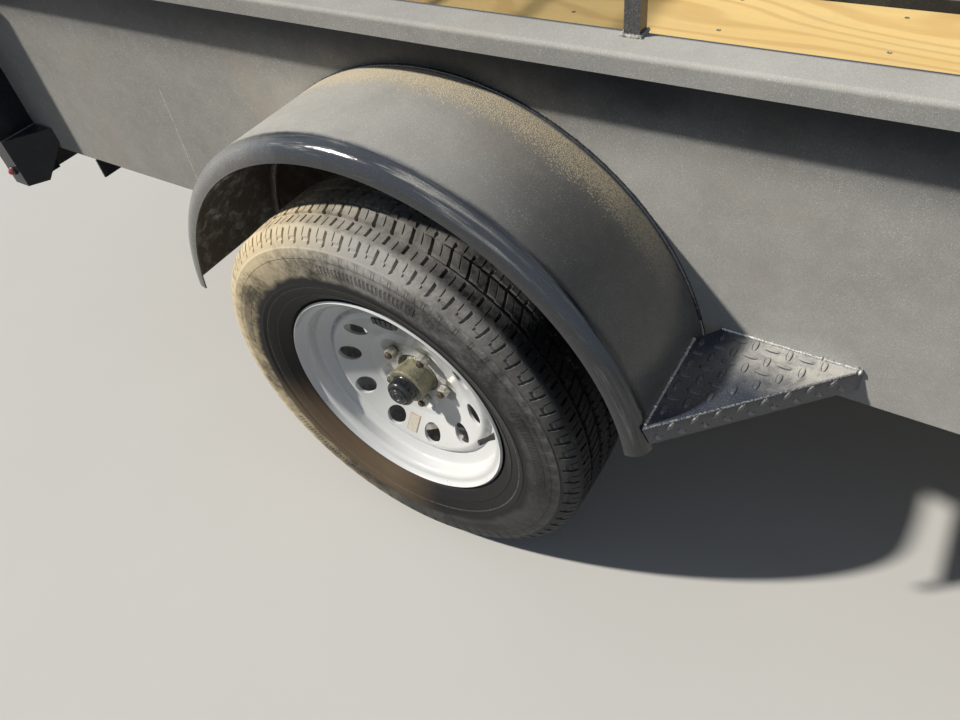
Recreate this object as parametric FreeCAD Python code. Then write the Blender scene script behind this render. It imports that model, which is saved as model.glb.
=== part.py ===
"""Single-axle utility trailer with solid sheet sides, a plywood deck and a mesh ramp gate.

Millimetres. +X points to the coupler, +Y to the trailer's left, +Z up, and Z = 0 is the ground.
While the pieces are built, X = 0 is at the axle. write() then moves them so that the middle of
the whole length is at X = 0. Pieces of the right side (-Y) are built first, and mirrored() makes
the left ones from them.
"""
import FreeCAD, Part
import math
import os
from FreeCAD import Vector

# Bed
bed_inner_width = 1219.0
bed_inner_length = 3048.0
rear_overhang = 1219.0
sheet = 3.0
panel_bottom_z = 435.0
rim_top_z = 894.0
rim_reach = 57.0
rim_depth = 25.0
rim_bend = 6.0
deck_thickness = 18.0
deck_clearance = 0.5
deck_sheet_length = 2438.0

# Frame of equal angle
angle_leg = 51.0
angle_wall = 5.0
frame_bottom_z = 431.0
crossmember_count = 7
first_crossmember = 209.0
header_height = 88.0

# Rear corner posts and the lamp guards in front of their feet
post_length = 51.0
post_width = 92.0
post_wall = 3.0
post_bottom_z = 370.0
post_front_x = -1200.0
guard_top_z = 488.0
guard_reach = 66.0
guard_inner_depth = 38.0
guard_sheet = 2.5

# Upper rail on square posts
upper_tube = 19.0
upper_rail_rise = 230.0
upper_bays = 4
upper_front_bays = 2

# Axle, springs and their clamps
axle_radius = 30.0
axle_end_inset = 127.5
spindle_radius = 17.0
spindle_out = 48.0
spring_eye_distance = 641.0
spring_arch = 60.0
leaf_width = 45.0
leaf_thickness = 7.0
leaf_half_lengths = (320.5, 245.0, 170.0, 95.0)
spring_seat = 8.0
spring_seat_half = 45.0
eye_outer_radius = 15.0
eye_bolt_radius = 7.0
hanger_wall = 6.0
hanger_gap = 0.5
hanger_length = 56.0
shackle_drop = 40.0
shackle_lean = 14.0
u_bolt_radius = 6.0
u_bolt_spread = 62.0
u_bolt_tail = 22.0
u_bolt_nut_radius = 10.5
u_bolt_nut_height = 12.0
clamp_plate = 8.0
clamp_plate_margin = 15.0

# Wheels and tyres, 15 inch rim with an ST205/75 tyre
tyre_radius = 344.0
tyre_half_width = 102.5
tread_half_width = 74.0
tread_groove_places = (-44.0, -15.0, 15.0, 44.0)
tread_groove_half_width = 4.0
tread_groove_floor_half_width = 3.0
tread_groove_depth = 7.0
sidewall_thickness = 12.0
crown_thickness = 18.0
bulge_radius = 272.0
rim_flange_radius = 207.5
rim_seat_radius = 190.5
rim_well_radius = 163.0
rim_half_width = 75.0
rim_sheet = 4.0
bead_inset = 12.5
wheel_reach = 230.0
disc_sheet = 5.0
disc_flat_radius = 60.0
disc_shoulder_radius = 95.0
disc_shoulder_out = 8.0
disc_edge_radius = 155.0
disc_edge_out = 42.0
disc_bore_radius = 41.0
vent_count = 10
vent_radius = 15.0
vent_circle_radius = 126.0
vent_first_angle = 28.5
lug_count = 5
lug_circle_radius = 57.15
lug_first_angle = -10.0
lug_hole_radius = 8.0
lug_pad_radius = 23.0
lug_pad_rise = 22.0
stud_radius = 7.8
lug_nut_radius = 11.0
lug_length = 22.0
lug_seat = 3.0
hub_flange_radius = 72.0
hub_flange_thickness = 12.0
hub_barrel_radius = 34.0
hub_out = 40.0
hub_in = 62.0
bearing_clearance = 0.05
cap_radius = 25.0
cap_out = 62.0
plug_radius = 16.5
plug_out = 67.0

# Fender, its outer surface an arc about a point over the axle
fender_centre_rise = 24.0
fender_radius = 439.0
fender_width = 224.0
fender_sheet = 2.5
fender_lip = 30.0
fender_lip_bend = 22.0
fender_flange = 14.0
fender_flange_bend = 8.0
fender_end_rise = 100.0

# Step at the front end of the fender
step_top_z = 494.0
step_length = 216.0
step_sheet = 3.0
step_lip = 36.0
step_outer_inset = 8.0

# Tongue, coupler and jack
tongue_length = 1150.0
tongue_half_angle = 25.0
tongue_tube_height = 76.0
tongue_tube_width = 51.0
tongue_tube_wall = 4.0
tongue_tip_gap = 150.0
ball_radius = 25.4
socket_clearance = 0.6
socket_wall = 6.0
coupler_plate = 5.0
coupler_length = 270.0
coupler_skirt = 36.0
ball_drop = 14.0
latch_behind_ball = 42.0
latch_length = 125.0
latch_rise = 28.0
latch_tip_rise = 18.0
latch_width = 30.0
latch_sheet = 5.0
latch_bend = 12.0
latch_pivot_width = 18.0
latch_pivot_length = 27.0
jack_setback = 360.0
jack_tube_radius = 28.5
jack_tube_wall = 3.0
jack_tube_top_z = 800.0
jack_cap = 12.0
jack_clearance = 0.4
jack_travel = 250.0
jack_leg_wall = 3.0
jack_leg_top_z = 520.0
jack_foot_radius = 85.0
jack_foot_thickness = 6.0
jack_cup_height = 30.0
jack_lift_gap = 8.0
jack_plate = 10.0
jack_plate_ahead = 80.0
jack_plate_behind = 70.0
jack_collar_wall = 7.0
jack_collar_height = 14.0
crank_reach = 150.0
crank_stem_radius = 9.0
crank_stem_height = 24.0
crank_arm_width = 16.0
crank_arm_thickness = 8.0
crank_grip_radius = 11.0
crank_grip_length = 104.0

# Ramp gate, closed and upright
gate_height = 1220.0
gate_side_gap = 8.0
gate_tube = 25.0
gate_standoff = 12.0
gate_mesh_thickness = 2.5
gate_mesh_strip = 12.0
gate_openings_across = 12
gate_openings_up = 12
gate_cross_bars = 3
hinge_rise = 15.0
hinge_pin_radius = 6.5
hinge_barrel_radius = 12.0
hinge_ear_radius = 10.0
hinge_neck = 15.0
hinge_barrel_length = 60.0
hinge_clearance = 0.06
hinge_ear = 6.0
hinge_ear_gap = 1.0
hinge_inset = 150.0
catch_z = 800.0
catch_pin_radius = 6.5
catch_pin_reach = 30.0
catch_overhang = 16.0
catch_slot_gap = 1.0
catch_plate_inset = 18.0
catch_plate = 6.0
catch_plate_height = 48.0

# Lamps and the number plate bracket
tail_lamp_width = 62.0
tail_lamp_height = 118.0
tail_lamp_depth = 26.0
marker_radius = 11.0
marker_depth = 14.0
front_marker_back = 60.0
front_marker_rise = 60.0
rear_marker_rise = 38.0
tail_lamp_rise = 10.0
tail_lamp_round = 6.0
plate_width = 200.0
plate_height = 100.0
plate_thickness = 2.0
plate_y = 380.0
plate_bolt_drop = 20.0
plate_bolt_spacing = 140.0
plate_bolt_radius = 3.5

# Places that follow from the sizes above
wheel_z = tyre_radius
panel_inner_y = bed_inner_width / 2
panel_outer_y = panel_inner_y + sheet
half_track = panel_outer_y + wheel_reach - rim_half_width
axle_half_length = half_track - axle_end_inset
bed_rear_x = -rear_overhang
bed_front_x = bed_rear_x + bed_inner_length
post_rear_x = post_front_x - post_length
post_outer_y = panel_outer_y + post_width
rail_bottom_inner_y = panel_inner_y - angle_leg
rail_top_z = frame_bottom_z + angle_leg
deck_bottom_z = frame_bottom_z + angle_wall
deck_top_z = deck_bottom_z + deck_thickness
crossmember_span = deck_sheet_length + angle_leg / 2 - first_crossmember
crossmember_pitch = crossmember_span / (crossmember_count - 1)
spring_y = panel_inner_y - angle_leg / 2
spring_top_z = wheel_z - axle_radius - spring_seat
fender_centre_z = wheel_z + fender_centre_rise
fender_outer_y = panel_outer_y + fender_width
tongue_top_z = frame_bottom_z
ball_x = bed_front_x + tongue_length
ball_z = tongue_top_z - ball_drop
jack_x = ball_x - jack_setback
jack_leg_radius = jack_tube_radius - jack_tube_wall - jack_clearance
jack_tube_bottom_z = jack_foot_thickness + jack_cup_height + jack_travel + jack_lift_gap
hinge_x = post_rear_x - gate_standoff - gate_tube / 2
hinge_z = frame_bottom_z + hinge_rise
gate_half_width = panel_inner_y - gate_side_gap
nose_radius = ball_radius + socket_clearance + socket_wall
front_reach = ball_x + nose_radius
catch_rear_x = hinge_x - catch_overhang
rear_reach = min(hinge_x - gate_tube / 2, post_rear_x - tail_lamp_depth, catch_rear_x)
middle_x = (front_reach + rear_reach) / 2


def box(x0, x1, y0, y1, z0, z1):
    """Block between two opposite corners."""
    low = Vector(min(x0, x1), min(y0, y1), min(z0, z1))
    return Part.makeBox(abs(x1 - x0), abs(y1 - y0), abs(z1 - z0), low)


def rod(start, end, radius):
    """Round bar from one point to another."""
    a = Vector(*start)
    b = Vector(*end)
    return Part.makeCylinder(radius, (b - a).Length, a, b - a)


def fused(shapes):
    """One clean solid from several that touch or overlap."""
    first = shapes[0]
    if len(shapes) == 1:
        return first
    return first.multiFuse(shapes[1:]).removeSplitter()


def mirrored(shape):
    """The same piece on the trailer's other side."""
    return shape.mirror(Vector(0, 0, 0), Vector(0, 1, 0))


def both_sides(shape):
    """A right piece and its mirrored left one, which do not touch."""
    return Part.makeCompound([shape, mirrored(shape)])


def rounded_wire(points, radii):
    """Closed wire through points, each corner rounded by the radius that stands beside it."""
    corners = [Vector(*point) for point in points]
    count = len(corners)
    entries = []
    for index, corner in enumerate(corners):
        radius = radii[index]
        if radius <= 0:
            entries.append((corner, None, corner))
            continue
        back = (corners[index - 1] - corner).normalize()
        ahead = (corners[(index + 1) % count] - corner).normalize()
        half_turn = math.acos(max(-1.0, min(1.0, back.dot(ahead)))) / 2
        reach = radius / math.tan(half_turn)
        bisector = (back + ahead).normalize()
        centre = corner + bisector * (radius / math.sin(half_turn))
        middle = centre - bisector * radius
        entries.append((corner + back * reach, middle, corner + ahead * reach))
    edges = []
    for index, (start, middle, end) in enumerate(entries):
        if middle is not None:
            edges.append(Part.Arc(start, middle, end).toShape())
        following = entries[(index + 1) % count][0]
        if (following - end).Length > 1e-6:
            edges.append(Part.LineSegment(end, following).toShape())
    return Part.Wire(edges)


def sheet_outline(path, thickness, bend):
    """Closed outline of a folded sheet: 2D path of one face, the other face to the path's left.

    bend is the outer radius of every fold. Points are (u, v) pairs.
    """
    count = len(path)
    normals = []
    for (u0, v0), (u1, v1) in zip(path, path[1:]):
        length = math.hypot(u1 - u0, v1 - v0)
        normals.append((-(v1 - v0) / length, (u1 - u0) / length))
    other = []
    near_radii = []
    far_radii = []
    for index, (u, v) in enumerate(path):
        if index == 0 or index == count - 1:
            nu, nv = normals[0] if index == 0 else normals[-1]
            other.append((u + nu * thickness, v + nv * thickness))
            near_radii.append(0)
            far_radii.append(0)
            continue
        (au, av), (bu, bv) = normals[index - 1], normals[index]
        scale = thickness / (1 + au * bu + av * bv)
        other.append((u + (au + bu) * scale, v + (av + bv) * scale))
        turns_left = au * bv - av * bu > 0
        near_radii.append(bend if turns_left else bend - thickness)
        far_radii.append(bend - thickness if turns_left else bend)
    points = list(path) + other[::-1]
    return points, near_radii + far_radii[::-1]


def folded_sheet_x(path, thickness, bend, x0, x1):
    """Folded sheet whose (y, z) section runs along X."""
    points, radii = sheet_outline(path, thickness, bend)
    wire = rounded_wire([(x0, y, z) for y, z in points], radii)
    return Part.Face(wire).extrude(Vector(x1 - x0, 0, 0))


def folded_sheet_y(path, thickness, bend, y0, y1):
    """Folded sheet whose (x, z) section runs along Y."""
    points, radii = sheet_outline(path, thickness, bend)
    wire = rounded_wire([(x, y0, z) for x, z in points], radii)
    return Part.Face(wire).extrude(Vector(0, y1 - y0, 0))


def turned(points, radii):
    """Solid of revolution about Y from (radius, out) points."""
    wire = rounded_wire([(radius, out, 0) for radius, out in points], radii)
    return Part.Face(wire).revolve(Vector(0, 0, 0), Vector(0, 1, 0), 360.0)


def level_plate(outline, low_z, high_z):
    """Flat plate of a plan outline, between two heights."""
    corners = [Vector(x, y, low_z) for x, y in outline]
    return Part.Face(Part.makePolygon(corners + corners[:1])).extrude(Vector(0, 0, high_z - low_z))


def hexagon(x, y, z, radius, along):
    """Six-sided bar from (x, y, z), its corners at radius from its axis."""
    side = Vector(1, 0, 0)
    up = along.cross(side).normalize()
    middle = Vector(x, y, z)
    turns = [math.radians(60 * index) for index in range(7)]
    corners = [middle + side * (radius * math.cos(turn)) + up * (radius * math.sin(turn))
               for turn in turns]
    return Part.Face(Part.makePolygon(corners)).extrude(along)


def on_right_wheel(shape):
    """Places a piece built about Y, with its outer side at +Y, on the right wheel's axis."""
    placed = mirrored(shape)
    placed.translate(Vector(0, -half_track, wheel_z))
    return placed


def square_tube(length, width, height, wall):
    """Rectangular tube along X, centred on the axis, from X = 0."""
    outer = box(0, length, -width / 2, width / 2, -height / 2, height / 2)
    inner_y = width / 2 - wall
    inner_z = height / 2 - wall
    return outer.cut(box(-1, length + 1, -inner_y, inner_y, -inner_z, inner_z))


def write(name, shape):
    """Moves a piece to the trailer's own middle and writes it."""
    placed = shape.copy()
    placed.translate(Vector(-middle_x, 0, 0))
    solids = placed.Solids
    result = solids[0] if len(solids) == 1 else Part.makeCompound(solids)
    if not result.isValid():
        print("not valid:", name)
    result.exportStep("parts/" + name + ".step")


# Bed frame

def side_rail():
    upright = box(bed_rear_x, bed_front_x, -panel_inner_y, -panel_inner_y + angle_wall,
                  frame_bottom_z, rail_top_z)
    shelf = box(bed_rear_x, bed_front_x, -panel_inner_y, -rail_bottom_inner_y,
                frame_bottom_z, deck_bottom_z)
    return fused([upright, shelf])


def front_header():
    upright_y = panel_inner_y - angle_wall
    upright = box(bed_front_x - angle_wall, bed_front_x, -upright_y, upright_y,
                  deck_bottom_z, rail_top_z)
    shelf = box(bed_front_x - angle_leg, bed_front_x, -rail_bottom_inner_y, rail_bottom_inner_y,
                frame_bottom_z, deck_bottom_z)
    return fused([upright, shelf])


def crossmember(x):
    """Angle with its shelf level with the side rails' shelves and its ends below them."""
    upright = box(x - angle_wall, x, -panel_outer_y, panel_outer_y,
                  deck_bottom_z - angle_leg, frame_bottom_z)
    web = box(x - angle_wall, x, -rail_bottom_inner_y, rail_bottom_inner_y,
              frame_bottom_z, deck_bottom_z)
    shelf = box(x - angle_leg, x, -rail_bottom_inner_y, rail_bottom_inner_y,
                frame_bottom_z, deck_bottom_z)
    return fused([upright, web, shelf])


def crossmembers():
    first_x = bed_rear_x + first_crossmember
    places = [first_x + crossmember_pitch * index for index in range(crossmember_count)]
    return Part.makeCompound([crossmember(x) for x in places])


def rear_header():
    """Tube across the rear end of the deck, with a pair of ears for each gate hinge."""
    tube = box(post_rear_x, bed_rear_x, -panel_inner_y, panel_inner_y,
               deck_top_z - header_height, deck_top_z)
    pieces = [tube]
    ear_gap = hinge_barrel_length / 2 + hinge_ear_gap
    for side in (-1, 1):
        centre = side * (panel_inner_y - hinge_inset)
        for face in (-1, 1):
            inner = centre + face * ear_gap
            outer = inner + face * hinge_ear
            plate = box(post_rear_x, hinge_x, inner, outer,
                        hinge_z - hinge_ear_radius, hinge_z + hinge_ear_radius)
            nose = rod((hinge_x, inner, hinge_z), (hinge_x, outer, hinge_z), hinge_ear_radius)
            pieces += [plate, nose]
    body = fused(pieces)
    for side in (-1, 1):
        centre = side * (panel_inner_y - hinge_inset)
        reach = ear_gap + hinge_ear + 1.0
        hole = rod((hinge_x, centre - reach, hinge_z), (hinge_x, centre + reach, hinge_z),
                   hinge_pin_radius + hinge_clearance)
        body = body.cut(hole)
    return body


def deck_board(x0, x1):
    half = panel_inner_y - angle_wall - deck_clearance
    return box(x0, x1, -half, half, deck_bottom_z, deck_top_z)


# Walls of the bed

def rim_path(face, out):
    """Section of a wall with its rim folded outwards and down; out is the outward sense."""
    outer = face + out * sheet
    edge = outer + out * rim_reach
    return [(face, panel_bottom_z), (face, rim_top_z), (edge, rim_top_z),
            (edge, rim_top_z - rim_depth)]


def corner_cut(x, y, side):
    """Wedge that mitres the rims where the side and the front wall meet."""
    size = rim_reach * 2
    corner = Vector(x, y, rim_top_z - rim_depth - 5)
    if side:
        far = Vector(x + size, y, corner.z)
        near = Vector(x + size, y + math.copysign(size, y), corner.z)
    else:
        far = Vector(x, y + math.copysign(size, y), corner.z)
        near = Vector(x + size, y + math.copysign(size, y), corner.z)
    face = Part.Face(Part.makePolygon([corner, far, near, corner]))
    return face.extrude(Vector(0, 0, rim_depth + 10))


def side_panel():
    """Right wall: one sheet, its rim folded outwards and down."""
    path = [(-u, v) for u, v in rim_path(panel_inner_y, 1)]
    front = bed_front_x + sheet + rim_reach
    wall = folded_sheet_x(path, sheet, rim_bend, post_rear_x, front)
    wall = wall.cut(box(bed_front_x, front + 1, -panel_outer_y, -panel_inner_y + 1,
                        panel_bottom_z - 1, rim_top_z + 1))
    wall = wall.cut(corner_cut(bed_front_x, -panel_inner_y, True))
    wall = wall.cut(box(bed_front_x, front + 1, -panel_outer_y, -panel_inner_y,
                        panel_bottom_z - 1, rim_top_z - rim_depth - 1))
    return wall.cut(box(post_rear_x - 1, post_front_x, -post_outer_y, -panel_outer_y,
                        panel_bottom_z, rim_top_z + 1))


def front_panel():
    path = rim_path(bed_front_x, 1)
    half = panel_outer_y + rim_reach
    wall = folded_sheet_y(path, -sheet, rim_bend, -half, half)
    for side in (-1, 1):
        wall = wall.cut(corner_cut(bed_front_x, side * panel_inner_y, False))
        wall = wall.cut(box(bed_front_x - 1, bed_front_x + sheet, side * panel_outer_y, side * half,
                            panel_bottom_z - 1, rim_top_z - rim_depth))
    return wall


def rear_post():
    """Rectangular tube outside the wall's rear end, closed by a cap at the top."""
    outer = box(post_rear_x, post_front_x, -post_outer_y, -panel_outer_y, post_bottom_z, rim_top_z)
    inner = box(post_rear_x + post_wall, post_front_x - post_wall,
                -post_outer_y + post_wall, -panel_outer_y - post_wall,
                post_bottom_z - 1, rim_top_z - post_wall)
    return outer.cut(inner)


def lamp_guard():
    """Folded cover in the corner between the post and the wall: a level top and a slanted face."""
    outer_corner = (post_front_x, -post_outer_y)
    inner_corner = (post_front_x, -panel_outer_y)
    front_corner = (post_front_x + guard_reach, -panel_outer_y)
    top = Part.Face(Part.makePolygon([Vector(x, y, guard_top_z - guard_sheet) for x, y in
                                      (outer_corner, inner_corner, front_corner, outer_corner)]))
    top = top.extrude(Vector(0, 0, guard_sheet))
    slope = Vector(front_corner[0] - outer_corner[0], front_corner[1] - outer_corner[1], 0)
    inward = Vector(-slope.y, slope.x, 0).normalize() * guard_sheet
    if inward.x > 0:
        inward = inward * -1
    outline = [Vector(outer_corner[0], outer_corner[1], guard_top_z),
               Vector(front_corner[0], front_corner[1], guard_top_z),
               Vector(front_corner[0], front_corner[1], guard_top_z - guard_inner_depth),
               Vector(outer_corner[0] + slope.x * 0.45, outer_corner[1] + slope.y * 0.45,
                      post_bottom_z),
               Vector(outer_corner[0], outer_corner[1], post_bottom_z)]
    face = Part.Face(Part.makePolygon(outline + outline[:1])).extrude(inward)
    cover = fused([top, face])
    return cover.common(box(post_front_x, post_front_x + guard_reach + 1,
                            -post_outer_y, -panel_outer_y, post_bottom_z, guard_top_z))


def upper_rail_side():
    """Square tube above the right wall on square posts."""
    y0 = -panel_inner_y - upper_tube
    y1 = -panel_inner_y
    rail_z = rim_top_z + upper_rail_rise - upper_tube
    pieces = [box(bed_rear_x, bed_front_x, y0, y1, rail_z, rail_z + upper_tube)]
    span = bed_inner_length - upper_tube
    for index in range(upper_bays + 1):
        x = bed_rear_x + span * index / upper_bays
        pieces.append(box(x, x + upper_tube, y0, y1, rim_top_z, rail_z))
    return fused(pieces)


def upper_rail_front():
    rail_z = rim_top_z + upper_rail_rise - upper_tube
    half = panel_inner_y + upper_tube
    x0 = bed_front_x
    x1 = bed_front_x + upper_tube
    pieces = [box(x0, x1, -half, half, rail_z, rail_z + upper_tube)]
    for index in range(1, upper_front_bays):
        y = -half + (2 * half) * index / upper_front_bays
        pieces.append(box(x0, x1, y - upper_tube / 2, y + upper_tube / 2, rim_top_z, rail_z))
    return fused(pieces)


# Axle and springs

def axle():
    beam = rod((0, -axle_half_length, wheel_z), (0, axle_half_length, wheel_z), axle_radius)
    spindle_y = half_track + spindle_out
    spindle = rod((0, -spindle_y, wheel_z), (0, spindle_y, wheel_z), spindle_radius)
    seats = []
    bow = spring_bow()
    for side in (-1, 1):
        y = side * spring_y
        block = box(-spring_seat_half, spring_seat_half, y - leaf_width / 2, y + leaf_width / 2,
                    spring_top_z, wheel_z)
        curve = rod((0, y - leaf_width, spring_top_z + bow), (0, y + leaf_width, spring_top_z + bow),
                    bow)
        seats.append(block.common(curve))
    return fused([beam, spindle] + seats)


def spring_bow():
    """Radius of the longest leaf's upper face, from its chord and its arch."""
    half = spring_eye_distance / 2
    return (half * half + spring_arch * spring_arch) / (2 * spring_arch)


def leaf_spring():
    """Pack of four leaves under the axle, the longest on top with an eye at each end."""
    half = spring_eye_distance / 2
    bow = spring_bow()
    centre_z = spring_top_z + bow
    y = -spring_y
    leaves = []
    for index, half_length in enumerate(leaf_half_lengths):
        inner = bow + leaf_thickness * index
        outer = inner + leaf_thickness
        angle = math.asin(half_length / bow)

        def at(radius, turn):
            return Vector(radius * math.sin(turn), y - leaf_width / 2,
                          centre_z - radius * math.cos(turn))

        edges = [Part.Arc(at(inner, -angle), at(inner, 0), at(inner, angle)).toShape(),
                 Part.LineSegment(at(inner, angle), at(outer, angle)).toShape(),
                 Part.Arc(at(outer, angle), at(outer, 0), at(outer, -angle)).toShape(),
                 Part.LineSegment(at(outer, -angle), at(inner, -angle)).toShape()]
        leaves.append(Part.Face(Part.Wire(edges)).extrude(Vector(0, leaf_width, 0)))
    eye_z = eye_height()
    for x in (-half, half):
        leaves.append(rod((x, y - leaf_width / 2, eye_z), (x, y + leaf_width / 2, eye_z),
                          eye_outer_radius))
    pack = fused(leaves)
    for x in (-half, half):
        pack = pack.cut(rod((x, y - leaf_width, eye_z), (x, y + leaf_width, eye_z),
                            eye_bolt_radius))
    return pack


def eye_height():
    """Height of the spring's eyes, which sit on the upper face of its longest leaf."""
    return spring_top_z + spring_arch + eye_outer_radius - leaf_thickness


def rounded_ear(x, z, top_z, y0, y1, half_length):
    """Plate that hangs from top_z and is round about a bolt at (x, z)."""
    plate = box(x - half_length, x + half_length, y0, y1, z, top_z)
    return fused([plate, rod((x, y0, z), (x, y1, z), half_length)])


def spring_hangers():
    """Front bracket, rear bracket with its two shackle links, and the bolts, on the right."""
    half = spring_eye_distance / 2
    eye_z = eye_height()
    inner = leaf_width / 2 + hanger_gap
    pieces = []
    front = []
    rear = []
    pivot_x = -half - shackle_lean
    pivot_z = min(eye_z + shackle_drop, frame_bottom_z - hanger_length / 4)
    for face in (-1, 1):
        y0 = -spring_y + face * inner
        y1 = y0 + face * hanger_wall
        front.append(rounded_ear(half, eye_z, frame_bottom_z, min(y0, y1), max(y0, y1),
                                 hanger_length / 2))
        link_end = rod((-half, y0, eye_z), (-half, y1, eye_z), hanger_length / 4)
        link_top = rod((pivot_x, y0, pivot_z), (pivot_x, y1, pivot_z), hanger_length / 4)
        rear += [link_end, link_top, shackle_bar((-half, eye_z), (pivot_x, pivot_z),
                                                 min(y0, y1), hanger_length / 4)]
    hub = box(pivot_x - hanger_length / 2, pivot_x + hanger_length / 2,
              -spring_y - inner, -spring_y + inner, pivot_z, frame_bottom_z)
    hub_round = rod((pivot_x, -spring_y - inner, pivot_z), (pivot_x, -spring_y + inner, pivot_z),
                    eye_outer_radius * 0.8)
    reach = inner + hanger_wall + 8
    front.append(rod((half, -spring_y - reach, eye_z), (half, -spring_y + reach, eye_z),
                     eye_bolt_radius - 0.2))
    rear.append(rod((-half, -spring_y - reach, eye_z), (-half, -spring_y + reach, eye_z),
                    eye_bolt_radius - 0.2))
    rear.append(rod((pivot_x, -spring_y - reach, pivot_z), (pivot_x, -spring_y + reach, pivot_z),
                    eye_bolt_radius - 0.2))
    pieces.append(fused(front))
    pieces.append(fused(rear + [hub, hub_round]))
    return Part.makeCompound(pieces)


def shackle_bar(low, high, y, half_width):
    """Straight part of a shackle link between its two round ends."""
    dx = high[0] - low[0]
    dz = high[1] - low[1]
    length = math.hypot(dx, dz)
    nx = -dz / length * half_width
    nz = dx / length * half_width
    corners = [Vector(low[0] + nx, y, low[1] + nz), Vector(high[0] + nx, y, high[1] + nz),
               Vector(high[0] - nx, y, high[1] - nz), Vector(low[0] - nx, y, low[1] - nz)]
    face = Part.Face(Part.makePolygon(corners + corners[:1]))
    return face.extrude(Vector(0, hanger_wall, 0))


def axle_clamp():
    """Two U-bolts over the axle and the plate under the spring that they pull up, on the right."""
    pack = leaf_thickness * len(leaf_half_lengths)
    plate_top = spring_top_z - pack
    plate_bottom = plate_top - clamp_plate
    leg_x = axle_radius + u_bolt_radius
    half_length = leg_x + clamp_plate_margin
    half_width = u_bolt_spread / 2 + clamp_plate_margin
    pieces = [box(-half_length, half_length, -spring_y - half_width, -spring_y + half_width,
                  plate_bottom, plate_top)]
    for face in (-1, 1):
        y = -spring_y + face * u_bolt_spread / 2
        ring = Part.makeTorus(leg_x, u_bolt_radius, Vector(0, y, wheel_z), Vector(0, 1, 0))
        upper_half = box(-leg_x * 2, leg_x * 2, y - u_bolt_radius * 2, y + u_bolt_radius * 2,
                         wheel_z, wheel_z + leg_x * 2)
        pieces.append(ring.common(upper_half))
        for x in (-leg_x, leg_x):
            pieces.append(rod((x, y, plate_bottom - u_bolt_tail), (x, y, wheel_z), u_bolt_radius))
            pieces.append(hexagon(x, y, plate_bottom, u_bolt_nut_radius,
                                  Vector(0, 0, -u_bolt_nut_height)))
    return fused(pieces)


# Wheels

def tyre():
    """Hollow carcass seated on the rim, with four grooves round the tread."""
    seat = rim_seat_radius
    bead = rim_half_width - bead_inset
    floor = tyre_radius - tread_groove_depth
    tread = []
    for centre in tread_groove_places:
        tread += [(tyre_radius, centre - tread_groove_half_width),
                  (floor, centre - tread_groove_floor_half_width),
                  (floor, centre + tread_groove_floor_half_width),
                  (tyre_radius, centre + tread_groove_half_width)]
    inner_half = tyre_half_width - sidewall_thickness
    crown = tyre_radius - crown_thickness
    outside = [(seat, -bead), (rim_flange_radius - 5, -bead - 3), (rim_flange_radius + 2, -bead - 5.5),
               (bulge_radius - 28, -tyre_half_width),
               (bulge_radius + 30, -tyre_half_width), (tyre_radius - 6, -tread_half_width - 8),
               (tyre_radius, -tread_half_width)]
    outside_radii = [0, 0, 0, 34, 40, 0, 0]
    mirror_side = [(radius, -out) for radius, out in outside[::-1]]
    inside = [(seat, bead - 16), (bulge_radius - 24, inner_half), (bulge_radius + 24, inner_half),
              (crown, tread_half_width - 14), (crown, -tread_half_width + 14),
              (bulge_radius + 24, -inner_half), (bulge_radius - 24, -inner_half), (seat, -bead + 16)]
    points = outside + tread + mirror_side + inside
    radii = outside_radii + [0] * len(tread) + outside_radii[::-1] + [0] * len(inside)
    return turned(points, radii).cut(rim_shell())


def rim_shell():
    """Drop-centre rim, one rolled sheet."""
    path = [(rim_flange_radius, rim_half_width), (rim_flange_radius - 6, rim_half_width - 9),
            (rim_seat_radius, rim_half_width - 12), (rim_seat_radius - 1, rim_half_width - 36),
            (rim_well_radius, rim_half_width - 46), (rim_well_radius, -rim_half_width + 62),
            (rim_seat_radius - 1, -rim_half_width + 40), (rim_seat_radius, -rim_half_width + 12),
            (rim_flange_radius - 6, -rim_half_width + 9), (rim_flange_radius, -rim_half_width)]
    points, radii = sheet_outline(path, -rim_sheet, rim_sheet + 3)
    outboard = [radius if out > 0 else 0 for (_, out), radius in zip(points, radii)]
    return turned(points, outboard)


def rim_and_disc():
    """Rim with its dished disc: ten round vents, five pressed lug seats and a centre bore."""
    crest = (disc_edge_radius - 6, disc_edge_out - disc_sheet - 2)
    cone = [(disc_bore_radius, 0), (disc_flat_radius, 0), (disc_shoulder_radius, disc_shoulder_out),
            crest]
    skirt = [(rim_well_radius - rim_sheet, disc_edge_out - disc_sheet - 8),
             (rim_well_radius - rim_sheet, disc_edge_out - disc_sheet - 24)]
    points, radii = sheet_outline(cone + skirt, disc_sheet, disc_sheet + 4)
    disc = turned(points, radii)
    behind = turned(cone + [(crest[0], -1), (disc_bore_radius, -1)], [0] * (len(cone) + 2))
    below_face = fused([disc, behind])
    for index in range(lug_count):
        angle = math.radians(lug_first_angle + index * 360.0 / lug_count)
        x = lug_circle_radius * math.cos(angle)
        z = lug_circle_radius * math.sin(angle)
        cup = rod((x, 0, z), (x, lug_pad_rise, z), lug_pad_radius + disc_sheet)
        disc = fused([disc, cup.common(below_face)])
        disc = disc.cut(rod((x, disc_sheet, z), (x, lug_pad_rise + 1, z), lug_pad_radius))
    wheel = fused([rim_shell(), disc])
    for index in range(vent_count):
        angle = math.radians(vent_first_angle + index * 360.0 / vent_count)
        x = vent_circle_radius * math.cos(angle)
        z = vent_circle_radius * math.sin(angle)
        wheel = wheel.cut(rod((x, -5, z), (x, rim_half_width, z), vent_radius))
    for index in range(lug_count):
        angle = math.radians(lug_first_angle + index * 360.0 / lug_count)
        x = lug_circle_radius * math.cos(angle)
        z = lug_circle_radius * math.sin(angle)
        wheel = wheel.cut(rod((x, -1, z), (x, disc_sheet + 1, z), lug_hole_radius))
    return wheel


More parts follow.
